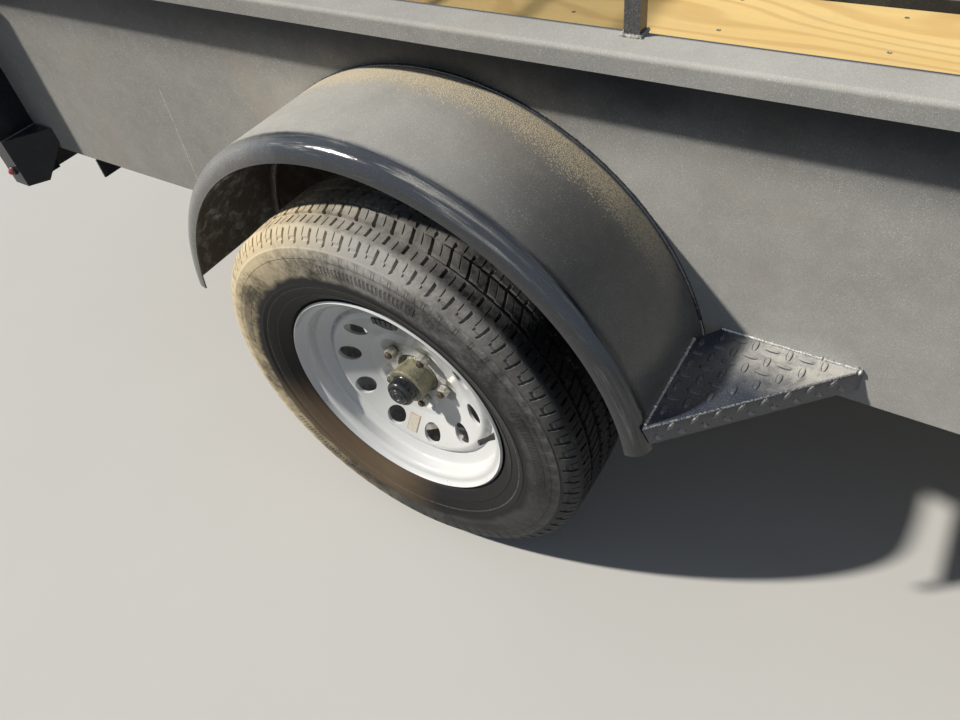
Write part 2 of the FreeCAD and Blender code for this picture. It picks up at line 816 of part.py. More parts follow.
def hub():
    """Barrel on the spindle with the flange that the disc bolts to."""
    bore = spindle_radius + bearing_clearance
    points = [(bore, -hub_in), (hub_barrel_radius, -hub_in), (hub_barrel_radius, -hub_flange_thickness),
              (hub_flange_radius, -hub_flange_thickness), (hub_flange_radius, 0),
              (hub_barrel_radius + 4, 0), (hub_barrel_radius, 6), (hub_barrel_radius, hub_out),
              (bore, hub_out)]
    return turned(points, [0, 3, 0, 0, 2, 0, 0, 3, 0])


def hub_cap():
    """Dust cap over the end of the hub, with the plug of its grease fitting."""
    points = [(cap_radius, hub_out), (cap_radius, cap_out), (plug_radius, cap_out),
              (plug_radius, plug_out), (0, plug_out), (0, cap_out - 3),
              (cap_radius - 2.5, cap_out - 3), (cap_radius - 2.5, hub_out)]
    return turned(points, [0, 4, 0, 2, 0, 0, 0, 0])


def lug_nuts():
    """Five nuts with cone seats, on the studs of the hub."""
    nuts = []
    for index in range(lug_count):
        angle = math.radians(lug_first_angle + index * 360.0 / lug_count)
        x = lug_circle_radius * math.cos(angle)
        z = lug_circle_radius * math.sin(angle)
        stud = rod((x, 0, z), (x, disc_sheet + lug_seat, z), stud_radius)
        body = hexagon(x, disc_sheet + lug_seat, z, lug_nut_radius, Vector(0, lug_length - lug_seat, 0))
        cone = Part.makeCone(lug_nut_radius - 2, lug_nut_radius - 0.5, lug_seat,
                             Vector(x, disc_sheet, z), Vector(0, 1, 0))
        nuts.append(fused([stud, cone, body]))
    return Part.makeCompound(nuts)


# Fender and step

def fender():
    """Arc of sheet, its outer edge rolled down over the wheel and its inner edge down the wall."""
    start = math.degrees(math.asin((fender_end_rise - fender_centre_rise) / fender_radius))
    inner = -panel_outer_y
    outer = -fender_outer_y
    path = [(fender_radius - fender_flange, inner), (fender_radius, inner), (fender_radius, outer),
            (fender_radius - fender_lip, outer)]
    points, radii = sheet_outline(path, -fender_sheet, fender_lip_bend)
    radii[1] = fender_flange_bend + fender_sheet
    radii[-2] = fender_flange_bend
    wire = rounded_wire([(radius, y, 0) for radius, y in points], radii)
    arc = Part.Face(wire).revolve(Vector(0, 0, 0), Vector(0, -1, 0), 180.0 - 2 * start)
    arc.rotate(Vector(0, 0, 0), Vector(0, -1, 0), start)
    arc.translate(Vector(0, 0, fender_centre_z))
    return arc


def fender_drum():
    """Solid inside the fender's outer surface, its two rolled edges included."""
    corners = [(0, -panel_outer_y), (fender_radius, -panel_outer_y), (fender_radius, -fender_outer_y),
               (0, -fender_outer_y)]
    rolls = [0, fender_flange_bend + fender_sheet, fender_lip_bend + fender_sheet, 0]
    drum = turned(corners, rolls)
    drum.translate(Vector(0, 0, fender_centre_z))
    return drum


def step():
    """Three-cornered tread plate ahead of the fender with a lip folded down on its slanted edge."""
    rise = step_top_z - fender_centre_z
    rear_x = math.sqrt(fender_radius * fender_radius - rise * rise)
    outer_y = fender_outer_y - step_outer_inset
    a = Vector(rear_x, -outer_y, step_top_z)
    b = Vector(rear_x + step_length, -panel_outer_y, step_top_z)
    slope = (b - a).normalize()
    inward = Vector(-slope.y, slope.x, 0)
    plate = Part.Face(Part.makePolygon([Vector(0, a.y, a.z), Vector(0, b.y, b.z), b, a,
                                        Vector(0, a.y, a.z)]))
    plate = plate.extrude(Vector(0, 0, -step_sheet))
    lip = Part.Face(Part.makePolygon([a - slope * 40, b, b - Vector(0, 0, step_lip),
                                      a - slope * 40 - Vector(0, 0, step_lip), a - slope * 40]))
    lip = lip.extrude(inward * step_sheet)
    whole = fused([plate, lip]).cut(fender_drum())
    limit = box(rear_x * 0.5, rear_x + step_length + 1, -outer_y, -panel_outer_y,
                step_top_z - step_lip - 1, step_top_z + 1)
    return whole.common(limit)


# Tongue, coupler and jack

def tongue_beam():
    """Right beam of the tongue, from under the bed's front corner to the coupler."""
    half_angle = math.radians(tongue_half_angle)
    foot_y = panel_inner_y - tongue_tube_width / 2 - angle_wall
    length = foot_y / math.sin(half_angle)
    tip = tongue_tip_gap / math.cos(half_angle)
    tube = square_tube(length - tip, tongue_tube_width, tongue_tube_height, tongue_tube_wall)
    tube.translate(Vector(-length, 0, 0))
    tube.rotate(Vector(0, 0, 0), Vector(0, 0, 1), tongue_half_angle)
    tube.translate(Vector(ball_x, 0, tongue_top_z - tongue_tube_height / 2))
    return tube


def beam_outline(offset, behind, ahead):
    """Plan outline between two lines beside the beams' middle lines, from behind to ahead of the ball."""
    half_angle = math.radians(tongue_half_angle)
    spread = offset / math.cos(half_angle)
    back_half = behind * math.tan(half_angle) + spread
    front_half = -ahead * math.tan(half_angle) + spread
    return [(ball_x - behind, -back_half), (ball_x - behind, back_half),
            (ball_x + ahead, front_half), (ball_x + ahead, -front_half)]


def coupler():
    """Pressed coupler: its skirts lie against both beams and meet in the nose over the ball."""
    top = tongue_top_z + coupler_plate
    bottom = tongue_top_z - coupler_skirt
    tangent = nose_radius * math.sin(math.radians(tongue_half_angle))
    body = level_plate(beam_outline(nose_radius, coupler_length, tangent), bottom, top)
    inside = level_plate(beam_outline(tongue_tube_width / 2, coupler_length + 1, -nose_radius * 1.25),
                         bottom - 1, tongue_top_z)
    nose = Part.makeCylinder(nose_radius, top - bottom, Vector(ball_x, 0, bottom))
    dome = Part.makeSphere(nose_radius, Vector(ball_x, 0, ball_z))
    dome = dome.common(box(ball_x - nose_radius, ball_x + nose_radius, -nose_radius, nose_radius,
                           ball_z, ball_z + nose_radius))
    hollow = Part.makeSphere(ball_radius + socket_clearance, Vector(ball_x, 0, ball_z))
    mouth = Part.makeCylinder(ball_radius + socket_clearance, ball_z - bottom + 1,
                              Vector(ball_x, 0, bottom - 1))
    return fused([body.cut(inside), nose, dome]).cut(hollow).cut(mouth)


def coupler_latch():
    """Bent lever on its pivot block, on top of the coupler behind the ball."""
    top = tongue_top_z + coupler_plate
    x0 = ball_x - latch_behind_ball
    path = [(x0, top + latch_sheet / 2), (x0 - latch_bend, top + latch_rise),
            (x0 - latch_length / 2, top + latch_rise),
            (x0 - latch_length, top + latch_rise + latch_tip_rise)]
    lever = folded_sheet_y(path, latch_sheet, latch_bend, -latch_width / 2, latch_width / 2)
    pivot = box(x0 - latch_bend * 1.5 - latch_pivot_length, x0 - latch_bend * 1.5,
                -latch_pivot_width / 2, latch_pivot_width / 2, top, top + latch_rise - latch_sheet)
    return fused([lever, pivot])


def jack_tube():
    """Outer tube of the jack with its top cap, a collar and the plate that stands on both beams."""
    tube = rod((jack_x, 0, jack_tube_bottom_z), (jack_x, 0, jack_tube_top_z), jack_tube_radius)
    plate = level_plate(beam_outline(tongue_tube_width / 2, jack_setback + jack_plate_behind,
                                     jack_plate_ahead - jack_setback),
                        tongue_top_z, tongue_top_z + jack_plate)
    collar = rod((jack_x, 0, tongue_top_z), (jack_x, 0, tongue_top_z + jack_plate + jack_collar_height),
                 jack_tube_radius + jack_collar_wall)
    bore = rod((jack_x, 0, jack_tube_bottom_z - 1), (jack_x, 0, jack_tube_top_z - jack_cap),
               jack_tube_radius - jack_tube_wall)
    return fused([plate, collar, tube]).cut(bore)


def jack_crank():
    """Crank on top of the jack: stem, arm and upright grip."""
    top = jack_tube_top_z
    arm_bottom = top + crank_stem_height - crank_arm_thickness
    stem = rod((jack_x, 0, top), (jack_x, 0, top + crank_stem_height), crank_stem_radius)
    arm = box(jack_x - crank_arm_width / 2, jack_x + crank_arm_width / 2, 0, crank_reach,
              arm_bottom, top + crank_stem_height)
    grip = rod((jack_x, crank_reach, arm_bottom), (jack_x, crank_reach, arm_bottom + crank_grip_length),
               crank_grip_radius)
    return fused([stem, arm, grip])


def jack_leg():
    """Inner tube of the jack, with a cup and a round foot on the ground."""
    cup_top = jack_foot_thickness + jack_cup_height
    tube = rod((jack_x, 0, jack_foot_thickness), (jack_x, 0, jack_leg_top_z), jack_leg_radius)
    foot = rod((jack_x, 0, 0), (jack_x, 0, jack_foot_thickness), jack_foot_radius)
    cup = Part.makeCone(jack_foot_radius * 0.6, jack_leg_radius, jack_cup_height,
                        Vector(jack_x, 0, jack_foot_thickness), Vector(0, 0, 1))
    bore = rod((jack_x, 0, cup_top), (jack_x, 0, jack_leg_top_z + 1), jack_leg_radius - jack_leg_wall)
    return fused([tube, foot, cup]).cut(bore)


# Ramp gate

def gate_frame():
    """Square tube frame with cross bars, hinge barrels and their pins, and two catch pins."""
    bottom = hinge_z + hinge_neck
    top = bottom + gate_height
    x0 = hinge_x - gate_tube / 2
    x1 = hinge_x + gate_tube / 2
    half = gate_half_width
    pieces = [box(x0, x1, -half, half, bottom, bottom + gate_tube),
              box(x0, x1, -half, half, top - gate_tube, top)]
    for side in (-1, 1):
        pieces.append(box(x0, x1, side * half, side * (half - gate_tube), bottom, top))
    for index in range(1, gate_cross_bars + 1):
        z = bottom + (gate_height - gate_tube) * index / (gate_cross_bars + 1)
        pieces.append(box(x0, hinge_x, -half, half, z, z + gate_tube))
    reach = hinge_barrel_length / 2
    pin_reach = reach + hinge_ear_gap + hinge_ear + hinge_ear
    for side in (-1, 1):
        centre = side * (panel_inner_y - hinge_inset)
        pieces.append(rod((hinge_x, centre - reach, hinge_z), (hinge_x, centre + reach, hinge_z),
                          hinge_barrel_radius))
        pieces.append(box(hinge_x - 6, hinge_x + 6, centre - reach, centre + reach, hinge_z, bottom))
        pieces.append(rod((hinge_x, centre - pin_reach, hinge_z),
                          (hinge_x, centre + pin_reach, hinge_z), hinge_pin_radius))
    for side in (-1, 1):
        pieces.append(rod((hinge_x, side * (half - 1), catch_z),
                          (hinge_x, side * (panel_outer_y + catch_pin_reach), catch_z),
                          catch_pin_radius))
    return fused(pieces)


def upright_rectangle(x, y0, y1, z0, z1):
    """Closed wire in the plane at x."""
    corners = [Vector(x, y, z) for y, z in ((y0, z0), (y1, z0), (y1, z1), (y0, z1))]
    return Part.makePolygon(corners + corners[:1])


def gate_mesh():
    """Expanded metal as one thin sheet with a plain grid of openings, inside the gate's frame."""
    low = hinge_z + hinge_neck + gate_tube
    height = gate_height - 2 * gate_tube
    half = gate_half_width - gate_tube
    pitch_y = (2 * half - gate_mesh_strip) / gate_openings_across
    pitch_z = (height - gate_mesh_strip) / gate_openings_up
    wires = [upright_rectangle(hinge_x, -half, half, low, low + height)]
    for column in range(gate_openings_across):
        y = -half + gate_mesh_strip + pitch_y * column
        for row in range(gate_openings_up):
            z = low + gate_mesh_strip + pitch_z * row
            wires.append(upright_rectangle(hinge_x, y, y + pitch_y - gate_mesh_strip,
                                           z, z + pitch_z - gate_mesh_strip))
    openings = [Part.Face(wire) for wire in wires[1:]]
    sheet_face = Part.Face(wires[0]).cut(Part.makeCompound(openings))
    return sheet_face.extrude(Vector(gate_mesh_thickness, 0, 0))


def gate_catches():
    """Plate on each rear post, its slot open to the rear for the gate's catch pin."""
    y0 = -panel_outer_y - catch_plate_inset
    y1 = y0 - catch_plate
    half_slot = catch_pin_radius + catch_slot_gap
    plate = box(catch_rear_x, post_rear_x, y0, y1, catch_z - catch_plate_height / 2,
                catch_z + catch_plate_height / 2)
    slot = box(catch_rear_x - 1, hinge_x, y0 + 1, y1 - 1, catch_z - half_slot, catch_z + half_slot)
    end = rod((hinge_x, y0 + 1, catch_z), (hinge_x, y1 - 1, catch_z), half_slot)
    return both_sides(plate.cut(slot).cut(end))


# Lamps and plate

def tail_lamp():
    y = -panel_outer_y - post_width / 2
    z = post_bottom_z + tail_lamp_rise + tail_lamp_height / 2
    body = box(post_rear_x - tail_lamp_depth, post_rear_x, y - tail_lamp_width / 2,
               y + tail_lamp_width / 2, z - tail_lamp_height / 2, z + tail_lamp_height / 2)
    edges = [edge for edge in body.Edges
             if edge.BoundBox.XMax < post_rear_x - tail_lamp_depth + 1]
    return body.makeFillet(tail_lamp_round, edges)


def marker(x, y, z):
    """Small round lamp on a face that looks outwards."""
    base = rod((x, y, z), (x, y - marker_depth * 0.4, z), marker_radius)
    dome = Part.makeSphere(marker_radius, Vector(x, y - marker_depth * 0.4, z))
    dome = dome.common(box(x - 20, x + 20, y - marker_depth, y - marker_depth * 0.4, z - 20, z + 20))
    return fused([base, dome])


def number_plate():
    """Blank plate with two bolt holes, on a bracket below the rear header's left half."""
    top = deck_top_z - header_height
    plate = box(post_rear_x, post_rear_x + plate_thickness,
                plate_y - plate_width / 2, plate_y + plate_width / 2, top - plate_height, top)
    z = top - plate_bolt_drop
    for side in (-1, 1):
        y = plate_y + side * plate_bolt_spacing / 2
        plate = plate.cut(rod((post_rear_x - 1, y, z), (post_rear_x + plate_thickness + 1, y, z),
                              plate_bolt_radius))
    return plate


def main():
    os.makedirs("parts", exist_ok=True)
    rail = side_rail()
    write("side_rail_right", rail)
    write("side_rail_left", mirrored(rail))
    write("front_header", front_header())
    write("rear_header", rear_header())
    write("crossmembers", crossmembers())
    split_x = bed_rear_x + deck_sheet_length
    write("deck_rear", deck_board(bed_rear_x, split_x))
    write("deck_front", deck_board(split_x, bed_front_x - angle_wall - deck_clearance))
    panel = side_panel()
    write("side_panel_right", panel)
    write("side_panel_left", mirrored(panel))
    write("front_panel", front_panel())
    write("rear_posts", both_sides(rear_post()))
    write("lamp_guards", both_sides(lamp_guard()))
    rail = upper_rail_side()
    write("upper_rail_right", rail)
    write("upper_rail_left", mirrored(rail))
    write("upper_rail_front", upper_rail_front())
    write("axle", axle())
    write("leaf_springs", both_sides(leaf_spring()))
    write("spring_hangers", both_sides(spring_hangers()))
    write("axle_clamps", both_sides(axle_clamp()))
    wheel_pieces = (("tyre", tyre()), ("wheel_rim", rim_and_disc()), ("hub", hub()),
                    ("hub_cap", hub_cap()), ("lug_nuts", lug_nuts()))
    for name, shape in wheel_pieces:
        placed = on_right_wheel(shape)
        write(name + "_right", placed)
        write(name + "_left", mirrored(placed))
    for name, shape in (("fender", fender()), ("step", step()), ("tongue_beam", tongue_beam())):
        write(name + "_right", shape)
        write(name + "_left", mirrored(shape))
    write("coupler", coupler())
    write("coupler_latch", coupler_latch())
    write("jack_tube", jack_tube())
    write("jack_crank", jack_crank())
    write("jack_leg", jack_leg())
    write("gate_frame", gate_frame())
    write("gate_mesh", gate_mesh())
    write("gate_catches", gate_catches())
    write("tail_lamps", both_sides(tail_lamp()))
    write("rear_markers", both_sides(marker((post_front_x + post_rear_x) / 2, -post_outer_y,
                                            post_bottom_z + rear_marker_rise)))
    write("front_markers", both_sides(marker(bed_front_x - front_marker_back, -panel_outer_y,
                                             panel_bottom_z + front_marker_rise)))
    write("number_plate", number_plate())


main()
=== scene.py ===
"""Looks of the single-axle utility trailer: finishes, tyre tread, mesh gate, welds, lamps and fasteners.

Metres, in the trailer's own frame: +X to the coupler, +Y to its left, +Z up, ground at Z = 0.
Pieces of the right side (-Y) and of the left are made by the same calls, with side = -1 or 1.
"""
import math
import random

import bpy
import numpy as np
from mathutils import Euler, Matrix, Vector


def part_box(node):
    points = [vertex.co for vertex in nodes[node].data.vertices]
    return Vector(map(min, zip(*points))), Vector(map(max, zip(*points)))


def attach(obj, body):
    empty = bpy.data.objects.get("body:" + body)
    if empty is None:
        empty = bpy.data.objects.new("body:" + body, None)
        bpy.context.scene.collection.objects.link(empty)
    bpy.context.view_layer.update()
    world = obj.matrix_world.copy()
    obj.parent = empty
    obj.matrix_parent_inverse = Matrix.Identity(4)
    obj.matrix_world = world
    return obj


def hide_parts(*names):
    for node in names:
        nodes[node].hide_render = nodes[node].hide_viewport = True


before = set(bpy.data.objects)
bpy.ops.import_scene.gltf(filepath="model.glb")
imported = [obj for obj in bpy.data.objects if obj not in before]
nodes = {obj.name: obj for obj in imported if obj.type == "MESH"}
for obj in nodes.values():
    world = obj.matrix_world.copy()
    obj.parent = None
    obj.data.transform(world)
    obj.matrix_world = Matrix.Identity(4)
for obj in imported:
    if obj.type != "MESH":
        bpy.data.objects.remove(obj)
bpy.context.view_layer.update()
SIDES = (("right", -1), ("left", 1))

# Places read from the frame

wheel_low, wheel_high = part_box("wheel_rim_right")
AXLE_X = (wheel_low.x + wheel_high.x) / 2
WHEEL_Z = (wheel_low.z + wheel_high.z) / 2
FLANGE_Y = wheel_low.y
wall_low, wall_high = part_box("side_panel_right")
WALL_SHEET = 0.003
INNER_Y = -wall_high.y
WALL_Y = INNER_Y + WALL_SHEET
RIM_TOP_Z = wall_high.z
PANEL_BOTTOM_Z = wall_low.z
fender_low, fender_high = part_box("fender_right")
FENDER_RADIUS = 0.439
FENDER_OUTER_Y = -fender_low.y
FENDER_CENTRE_Z = fender_high.z - FENDER_RADIUS
step_low, step_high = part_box("step_right")
STEP_OUTER_Y = -step_low.y
STEP_TIP_X = step_high.x
STEP_TOP_Z = step_high.z
STEP_REAR_X = AXLE_X + math.sqrt(FENDER_RADIUS ** 2 - (STEP_TOP_Z - FENDER_CENTRE_Z) ** 2)
RAIL_TUBE = 0.019
RAIL_TOP_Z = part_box("upper_rail_right")[1].z
post_low, post_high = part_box("rear_posts")
deck_low, deck_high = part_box("deck_rear")
DECK_FRONT_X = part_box("deck_front")[1].x

# Camera, from the wheel's outer flange centre, and sun

FOCAL_PX = 750
FRAME_PX = 960
CAMERA_FROM_WHEEL = (0.6308, -0.5473, 0.9172)
CAMERA_AZIMUTH = -38.55
CAMERA_PITCH = -46.06
CAMERA_ROLL = -9.4
SUN_TRAVEL = (1.59, 1, -1.66)
SUN_COLOUR = (1, 0.95, 0.86)
SUN_ENERGY = 3.9
SUN_ANGLE = 2.2
SKY_COLOUR = (0.7, 0.82, 1, 1)
SKY_ON_OBJECT = 0.18
SKY_AS_SEEN = 0.95


def camera():
    """Camera at the photograph's viewing angle, looking down at the right wheel."""
    data = bpy.data.cameras.new("camera")
    data.sensor_width = 36
    data.lens = FOCAL_PX * data.sensor_width / FRAME_PX
    data.clip_start = 0.02
    data.clip_end = 60
    holder = bpy.data.objects.new("camera", data)
    azimuth = math.radians(CAMERA_AZIMUTH)
    pitch = math.radians(CAMERA_PITCH)
    ahead = Vector((math.sin(azimuth) * math.cos(pitch), math.cos(azimuth) * math.cos(pitch),
                    math.sin(pitch)))
    turn = ahead.to_track_quat("-Z", "Y") @ Euler((0, 0, math.radians(CAMERA_ROLL))).to_quaternion()
    holder.rotation_mode = "QUATERNION"
    holder.rotation_quaternion = turn
    holder.location = Vector((AXLE_X, FLANGE_Y, WHEEL_Z)) + Vector(CAMERA_FROM_WHEEL)
    bpy.context.scene.collection.objects.link(holder)
    bpy.context.scene.camera = holder


def lights():
    """Sun from the rear right, as in the photograph, and a world that fills the shade a little."""
    key = bpy.data.lights.new("key", "SUN")
    key.energy = SUN_ENERGY
    key.angle = math.radians(SUN_ANGLE)
    key.color = SUN_COLOUR
    holder = bpy.data.objects.new("key", key)
    holder.rotation_mode = "QUATERNION"
    holder.rotation_quaternion = Vector(SUN_TRAVEL).to_track_quat("-Z", "Y")
    bpy.context.scene.collection.objects.link(holder)
    world = bpy.data.worlds.new("studio")
    world.use_nodes = True
    tree = world.node_tree
    background = tree.nodes["Background"]
    path = tree.nodes.new("ShaderNodeLightPath")
    seen = tree.nodes.new("ShaderNodeMath")
    seen.operation = "MAXIMUM"
    tree.links.new(path.outputs["Is Camera Ray"], seen.inputs[0])
    tree.links.new(path.outputs["Is Glossy Ray"], seen.inputs[1])
    strength = tree.nodes.new("ShaderNodeMapRange")
    strength.inputs["To Min"].default_value = SKY_ON_OBJECT
    strength.inputs["To Max"].default_value = SKY_AS_SEEN
    tree.links.new(seen.outputs[0], strength.inputs["Value"])
    tree.links.new(strength.outputs["Result"], background.inputs["Strength"])
    background.inputs["Color"].default_value = SKY_COLOUR
    bpy.context.scene.world = world
    bpy.context.scene.view_settings.view_transform = "Standard"


# Finishes

class Signal:
    """One output in a finish's node tree. Sums, differences and products of signals make Math nodes."""

    def __init__(self, finish, socket):
        self.finish = finish
        self.socket = socket

    def __add__(self, other):
        return self.finish.math("ADD", self, other)

    def __sub__(self, other):
        return self.finish.math("SUBTRACT", self, other)

    def __rsub__(self, other):
        return self.finish.math("SUBTRACT", other, self)

    def __mul__(self, other):
        return self.finish.math("MULTIPLY", self, other)

    def __abs__(self):
        return self.finish.math("ABSOLUTE", self)


class Finish:
    """One material's node tree, with a short call for each kind of node that the finishes use."""

    def __init__(self, name, colour, **settings):
        self.colour = colour
        self.material = bpy.data.materials.new(name)
        self.material.use_nodes = True
        self.tree = self.material.node_tree
        self.shader = self.tree.nodes["Principled BSDF"]
        for key, value in settings.items():
            self.set(key.replace("_", " "), value)
        source = self.tree.nodes.new("ShaderNodeTexCoord")
        self.place = Signal(self, source.outputs["Object"])
        self.x, self.y, self.z = self.axes(self.place)
        self.look_x, self.look_y, self.look_z = self.axes(Signal(self, source.outputs["Normal"]))

    def set(self, key, value):
        self.feed(self.shader.inputs[key], value)

    def feed(self, socket, value):
        if isinstance(value, Signal):
            self.tree.links.new(value.socket, socket)
        elif isinstance(value, tuple) and socket.type == "RGBA":
            socket.default_value = (*value, 1)
        else:
            socket.default_value = value

    def put(self, kind, inputs, output=0, **settings):
        """Output of a new node with these inputs and settings."""
        node = self.tree.nodes.new("ShaderNode" + kind)
        for key, value in settings.items():
            setattr(node, key, value)
        for key, value in inputs.items():
            self.feed(node.inputs[key], value)
        return Signal(self, node.outputs[output])

    def moved(self, scale=(1, 1, 1), shift=(0, 0, 0), turn=(0, 0, 0)):
        """Object place, scaled, turned and shifted."""
        return self.put("Mapping", {"Vector": self.place, "Scale": scale, "Location": shift,
                                    "Rotation": turn})

    def noise(self, scale, detail=3, rough=0.6, at=None, twist=0):
        return self.put("TexNoise", {"Vector": at or self.place, "Scale": scale, "Detail": detail,
                                     "Roughness": rough, "Distortion": twist})

    def cells(self, scale, at=None, output="Distance"):
        return self.put("TexVoronoi", {"Vector": at or self.place, "Scale": scale}, output)

    def span(self, value, low, high, to_low=0, to_high=1):
        """Value brought from low..high to to_low..to_high, smoothly and clamped."""
        return self.put("MapRange", {"Value": value, "From Min": low, "From Max": high, "To Min": to_low,
                                     "To Max": to_high}, "Result", interpolation_type="SMOOTHSTEP")

    def math(self, operation, a, b=0):
        return self.put("Math", {0: a, 1: b}, operation=operation)

    def most(self, a, b):
        return self.math("MAXIMUM", a, b)

    def radius(self, x, z):
        return self.math("SQRT", x * x + z * z)

    def clamp(self, value):
        return self.put("Clamp", {"Value": value})

    def axes(self, vector):
        """X, Y and Z of a vector."""
        node = self.tree.nodes.new("ShaderNodeSeparateXYZ")
        self.feed(node.inputs[0], vector)
        return [Signal(self, output) for output in node.outputs]

    def mix(self, amount, under, over):
        return self.put("Mix", {0: amount, 6: under, 7: over}, 2, data_type="RGBA")

    def over(self, mask, colour):
        """Lays another colour over what is there, where the mask is 1."""
        self.colour = self.mix(mask, self.colour, colour)

    def done(self, rough):
        self.set("Base Color", self.colour)
        self.set("Roughness", rough)
        return self.material

    def bump(self, height, depth, strength=1):
        """Adds a relief, depth in metres, over what the shader already has."""
        inputs = {"Height": height, "Distance": depth, "Strength": strength}
        socket = self.shader.inputs["Normal"]
        if socket.is_linked:
            inputs["Normal"] = Signal(self, socket.links[0].from_socket)
        self.set("Normal", self.put("Bump", inputs))


SCRATCH_HIGH = (-1.5019, 0.666)
SCRATCH_LOW = (-1.5096, 0.463)
# Charcoal paint whose cool blue tint is painted skylight.
SKY_TINTED_PAINT = (0.02, 0.024, 0.032)
# A paler, bluer copy of the charcoal for the step: painted skylight in its shade.
STEP_PAINT_SKY_LIT = (0.036, 0.048, 0.076)
DUST = (0.55, 0.535, 0.495)
# Paler dust towards the wall's front: partly painted light, as the front of the wall is brighter lit.
WALL_DUST_AND_LIGHT_AHEAD = (0.71, 0.7, 0.66)
SAND = ((0.66, 0.55, 0.37), (0.92, 0.8, 0.57))
# Step dust colours, which also carry the painted light at the tip and the painted glints on the crests.
STEP_DUST_AND_GLINT = ((0.55, 0.53, 0.49), (0.8, 0.775, 0.72))
MUD = ((0.06, 0.046, 0.033), (0.13, 0.1, 0.07))
CHALK = (0.8, 0.78, 0.73)


def charcoal(name, dust, gloss, rise=0.1, lee_clean_and_shade=0, shine=0.3, wipe=None, band=None, mud=None,
             scratch=False, paint=SKY_TINTED_PAINT, ahead=DUST, band_colours=SAND):
    """Charcoal enamel under a film of road dust, with fine light specks and thin wipe marks.

    lee_clean_and_shade is how much cleaner the faces are that look forward, partly painted shade on the faces
    that turn from the sun, and ahead the dust's colour towards the front, on the wall paler as painted light.
    wipe is a mask for what stays clean, on the wall also painted shade under the rim; band one for blown
    sand, on the step also painted light and glints, with band_colours its two colours; mud one for splashes,
    in the wheel well also painted shade. All three masks are functions of the finish.
    """
    f = Finish(name, paint, Specular_IOR_Level=shine)
    cloud = f.span(f.noise(1.7, 4, 0.6, twist=0.6), 0.3, 0.72)
    drift = f.span(f.noise(14, 5, 0.7), 0.3, 0.75)
    grain = f.span(f.noise(900, 2, 0.8), 0.35, 0.75)
    film = cloud * 0.16 + drift * 0.1 + grain * 0.24 + (dust - 0.25)
    film = film + f.span(f.look_z, -0.2, 1, -rise, rise)
    # Forward faces keep less dust: partly painted shade, as they turn from the sun.
    if lee_clean_and_shade:
        film = film * f.span(f.look_x, 0.25, 0.75, 1, 1 - lee_clean_and_shade)
    if wipe:
        film = film * wipe(f, drift)
    film = f.clamp(film)
    # Dust colour blends to the ahead colour towards the front; on the wall this paints light.
    f.over(film, f.mix(f.span(f.x, AXLE_X - 0.45, AXLE_X + 0.45), DUST, ahead))
    specks = f.span(f.cells(560), 0.3, 0.14) * f.span(f.noise(60), 0.34, 0.62)
    coarse = f.span(f.cells(170), 0.13, 0.05) * f.span(f.noise(14), 0.42, 0.62)
    marks = f.most(specks, coarse) * f.span(film, 0.1, 0.5, 0.1, 1)
    f.over(marks * 0.95, (0.84, 0.82, 0.77))
    warm = f.span(f.noise(3.6, 2, 0.5, twist=0.6), 0.5, 0.72, 0, 0.34)
    f.over(warm * film, (0.42, 0.33, 0.25))
    thread = f.noise(4, 1, at=f.moved((6, 6, 0.8), turn=(0, 0.5, 0)))
    lines = f.span(thread, 0.4982, 0.5) * f.span(thread, 0.5018, 0.5) * film
    f.over(lines * f.span(f.noise(2.3), 0.56, 0.62) * 0.45, (0.6, 0.59, 0.55))
    rough = film * 0.75 + gloss
    if scratch:
        f.over(wall_scratch(f), CHALK)
    if band:
        dry = band(f)
        f.over(dry, f.mix(grain, *band_colours))
        rough = rough + dry * 0.5
        f.bump(dry * f.noise(700), 0.0012, 0.8)
    if mud:
        splash = mud(f)
        f.over(splash, f.mix(grain, *MUD))
        rough = rough + splash * 0.5
        f.bump(splash * f.noise(260, 4), 0.0015, 0.8)
    f.bump(f.noise(48, 3, 0.5), 0.0004, 0.22)
    f.bump(marks + grain * 0.2, 0.0003, 0.4)
    return f.done(f.clamp(rough))


def wall_scratch(f):
    """Long thin scratch on the right wall, behind the fender, broken along its length."""
    slope = (SCRATCH_LOW[0] - SCRATCH_HIGH[0]) / (SCRATCH_LOW[1] - SCRATCH_HIGH[1])
    line = (f.z - SCRATCH_HIGH[1]) * slope + SCRATCH_HIGH[0]
    off = abs(f.x - line - f.noise(25, 2) * 0.004)
    within = (f.span(f.z, SCRATCH_LOW[1] - 0.004, SCRATCH_LOW[1])
              * f.span(f.z, SCRATCH_HIGH[1] + 0.004, SCRATCH_HIGH[1]))
    broken = f.span(f.noise(120), 0.4, 0.52, 0.25, 0.85)
    return f.span(off, 0.0011, 0.0004) * within * broken * f.span(f.y, 0, -0.1)


def under_rim_dust_and_shade(f, drift):
    """The wall keeps cleaner under the rim's overhang, and this darker band is also painted shade where the
    rim's shadow falls.
    """
    # Darker band under the rim: painted shade of the rim's overhang, with less dust.
    shelter_shade = f.span(f.z + drift * 0.02, RIM_TOP_Z - 0.17, RIM_TOP_Z - 0.04, 1, 0.07)
    return f.most(shelter_shade, f.span(abs(f.y), WALL_Y + 0.003, WALL_Y + 0.008, 0, 0.84))


def fender_polar(f):
    """Radius from the fender's middle line, and how far a face looks away from it."""
    x = f.x - AXLE_X
    z = f.z - FENDER_CENTRE_Z
    radius = f.radius(x, z)
    return radius, f.math("DIVIDE", x * f.look_x + z * f.look_z, radius)


